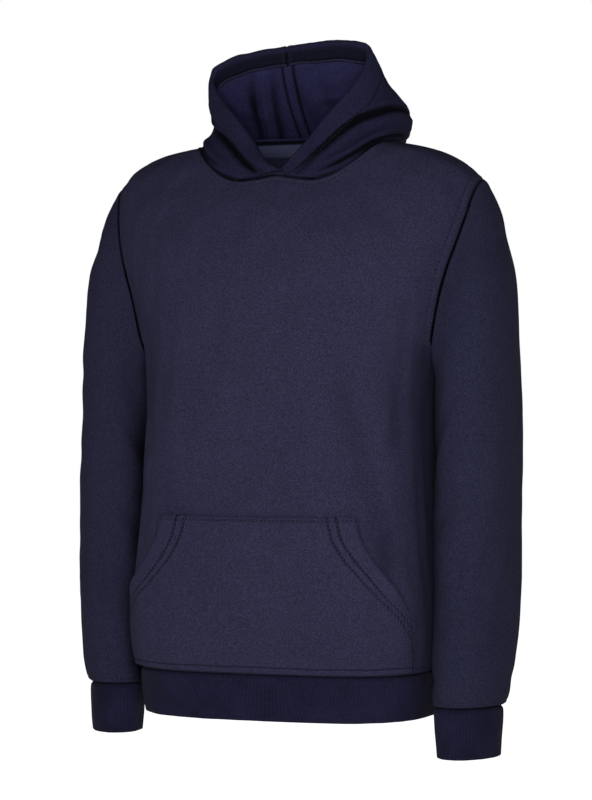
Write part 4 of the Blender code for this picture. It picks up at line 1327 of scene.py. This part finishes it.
smooth, normals, _ = panels["back"]
from_top = run_of(smooth, 0)[-1:] - run_of(smooth, 0)
strip, strip_out = [], []
for depth in np.linspace(NECK_TAPE_DEPTH, 0.06, 8):
    line, outward = line_where(from_top, depth, smooth, normals)
    kept = np.abs(smooth[-1, :, 0]) < NECK_TAPE_REACH
    strip.append(line[kept])
    strip_out.append(outward[kept])
strip, strip_out = np.array(strip), np.array(strip_out)
tape_back = strip - strip_out * (FLEECE / CM + 0.02)
tape_face = tape_back - strip_out * TAPE_THICK
pale_twill = cotton_twill("pale_twill_tape", "#363a50", "#464b64")
piece = sew_wall("neck_seam_tape", tape_face, tape_back, pale_twill)

# ---------------------------------------------------------------------------
# Thread. Polyester sewing thread in navy, a little more lustrous than the cloth: rows
# with a stitch every 3.2 mm beside the seams, and an overlock along the hood's hem.
# ---------------------------------------------------------------------------
STITCH_PITCH = 0.32
STITCH_LENGTH = 0.25
THREAD = 0.048
THREAD_SECTIONS = ((-1.0, 0.0), (-0.72, 0.85), (0.0, 1.0), (0.72, 0.85), (1.0, 0.0))


def spun_thread(name, shade):
    """Spun polyester thread, with a soft gloss along its twist."""
    material, tree, shader = new_material(name, (("Roughness", 0.55), ("Specular IOR Level", 0.25)))
    where = node(tree, "ShaderNodeTexCoord")
    twist = node(tree, "ShaderNodeTexNoise", links=(("Vector", where.outputs["Object"]),
                 ("Scale", 900.0), ("Detail", 2.0)))
    tones = node(tree, "ShaderNodeValToRGB", links=((0, twist.outputs["Fac"]),))
    tones.color_ramp.elements[0].color = tuple(0.7 * c for c in linear(shade)[:3]) + (1.0,)
    tones.color_ramp.elements[1].color = tuple(1.3 * c for c in linear(shade)[:3]) + (1.0,)
    tree.links.new(tones.outputs[0], shader.inputs["Base Color"])
    return material


def sew_rows(name, rows, material, pitch=STITCH_PITCH, length=STITCH_LENGTH, lean=0.0):
    """Lay stitches along rows of points: each is a short thread whose ends dip in."""
    turn = np.arange(6) * math.pi / 3
    blank = []
    for along, wide in THREAD_SECTIONS:
        for angle in (turn if wide else turn[:1]):
            blank.append((along * length / 2, wide * THREAD / 2 * math.cos(angle),
                          wide * THREAD / 2 * math.sin(angle) - THREAD * 0.55 * along**2))
    blank = np.array(blank)
    faces = []
    far_tip = len(blank) - 1
    for first, second in ((1, 7), (7, 13)):
        for k in range(6):
            faces.append((first + k, first + (k + 1) % 6, second + (k + 1) % 6, second + k))
    for k in range(6):
        faces.append((0, 1 + (k + 1) % 6, 1 + k))
        faces.append((far_tip, 13 + k, 13 + (k + 1) % 6))
    points, joined = [], []
    for line, normals in rows:
        run = np.concatenate([[0.0], np.cumsum(np.linalg.norm(np.diff(line, axis=0), axis=-1))])
        for at in np.arange(pitch, run[-1] - pitch / 2, pitch):
            ends = [np.array([np.interp(at + d, run, line[:, a]) for a in range(3)])
                    for d in (-0.05, 0.05)]
            up_here = np.array([np.interp(at, run, normals[:, a]) for a in range(3)])
            up_here /= np.linalg.norm(up_here)
            ahead = ends[1] - ends[0]
            ahead -= up_here * (ahead @ up_here)
            ahead /= np.linalg.norm(ahead)
            aside = np.cross(up_here, ahead)
            heading = ahead * math.cos(lean) + aside * math.sin(lean)
            beside = np.cross(up_here, heading)
            middle = (ends[0] + ends[1]) / 2 + up_here * THREAD * 0.32
            start = len(points) * len(blank)
            points.append(middle + blank[:, :1] * heading + blank[:, 1:2] * beside
                          + blank[:, 2:] * up_here)
            joined += [tuple(start + v for v in face) for face in faces]
    mesh = bpy.data.meshes.new(name)
    mesh.from_pydata((np.concatenate(points) * CM).tolist(), [], joined)
    mesh.shade_smooth()
    mesh.materials.append(material)
    piece = bpy.data.objects.new(name, mesh)
    scene.collection.objects.link(piece)
    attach(piece, "root")
    return piece


navy_thread = spun_thread("navy_polyester_thread", "#23233c")
# The hood's thread is a darker copy of the body's, to go with the hood's painted shade.
hood_thread_painted_darker = spun_thread("hood_polyester_thread_painted_darker", "#131326")
overlock_thread = spun_thread("overlock_polyester_thread", "#3a3a5a")
neck_rows, waist_rows, armhole_rows = [], [], []
for name, (smooth, normals, outer) in panels.items():
    foot_run = run_of(smooth, 0)
    line, upward = line_where(foot_run[-1:] - foot_run, TOPSTITCH, outer, normals)
    at_neck = np.abs(smooth[-1, :, 0]) < FRONT_NECK[-1][0]
    neck_rows.append((line[at_neck], upward[at_neck]))
    waist_rows.append(tuple(line_where(foot_run, TOPSTITCH, outer, normals)))
    swapped = [np.swapaxes(grid, 0, 1) for grid in (outer, normals)]
    side_run = run_of(smooth, 1).T
    above = smooth[:, 0, 2] > FRONT_ARMHOLE[-1][0]
    for distance in (side_run, side_run[-1:] - side_run):
        for needle in TWIN_NEEDLE:
            line, upward = line_where(distance, needle, *swapped)
            armhole_rows.append((line[above], upward[above]))
sew_rows("thread_neck", neck_rows, navy_thread)
sew_rows("thread_waist", waist_rows, navy_thread)
sew_rows("thread_armholes", armhole_rows, navy_thread)
cuff_rows = []
for name, (outer, normals, skin) in sleeves.items():
    left = run_of(outer, 0)[-1:] - run_of(outer, 0)
    line, upward = line_where(left, TOPSTITCH, skin, normals)
    cuff_rows.append((np.concatenate([line, line[:1]]), np.concatenate([upward, upward[:1]])))
sew_rows("thread_cuffs", cuff_rows, navy_thread)

normals, outer, from_edge, from_slant, from_top, hand = pocket_skin
pocket_rows = [tuple(line_where(from_top, POCKET_TOPSTITCH, outer, normals))]
middle = outer.shape[1] // 2
for half in (slice(0, middle), slice(None, middle, -1)):
    swapped = [np.swapaxes(grid[:, half], 0, 1) for grid in (outer, normals)]
    open_edge = hand[:, 0] > 0.5
    for needle in HAND_HEM:
        line, upward = line_where(from_slant[:, half].T, needle, *swapped)
        inside = from_slant[:, 0] < needle - 0.12
        pocket_rows.append((line[inside], upward[inside]))
    line, upward = line_where(from_edge[:, half].T, POCKET_END_STITCH, *swapped)
    pocket_rows.append((line[~open_edge], upward[~open_edge]))
sew_rows("thread_pocket", pocket_rows, navy_thread)

hem_rows, overlock_rows = [], []
for normals, skin, wanted, hem, overlock_line in hoods.values():
    hem_rows.append(tuple(line_where(wanted - hem, 0.0, skin, normals)))
    overlock_rows.append(overlock_line)
sew_rows("thread_hood_hem", hem_rows, hood_thread_painted_darker)
sew_rows("thread_hood_overlock", overlock_rows, overlock_thread, pitch=0.17, length=0.34, lean=1.15)


size = {"cad": cad_box, "visual": [list(corner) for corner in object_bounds()]}
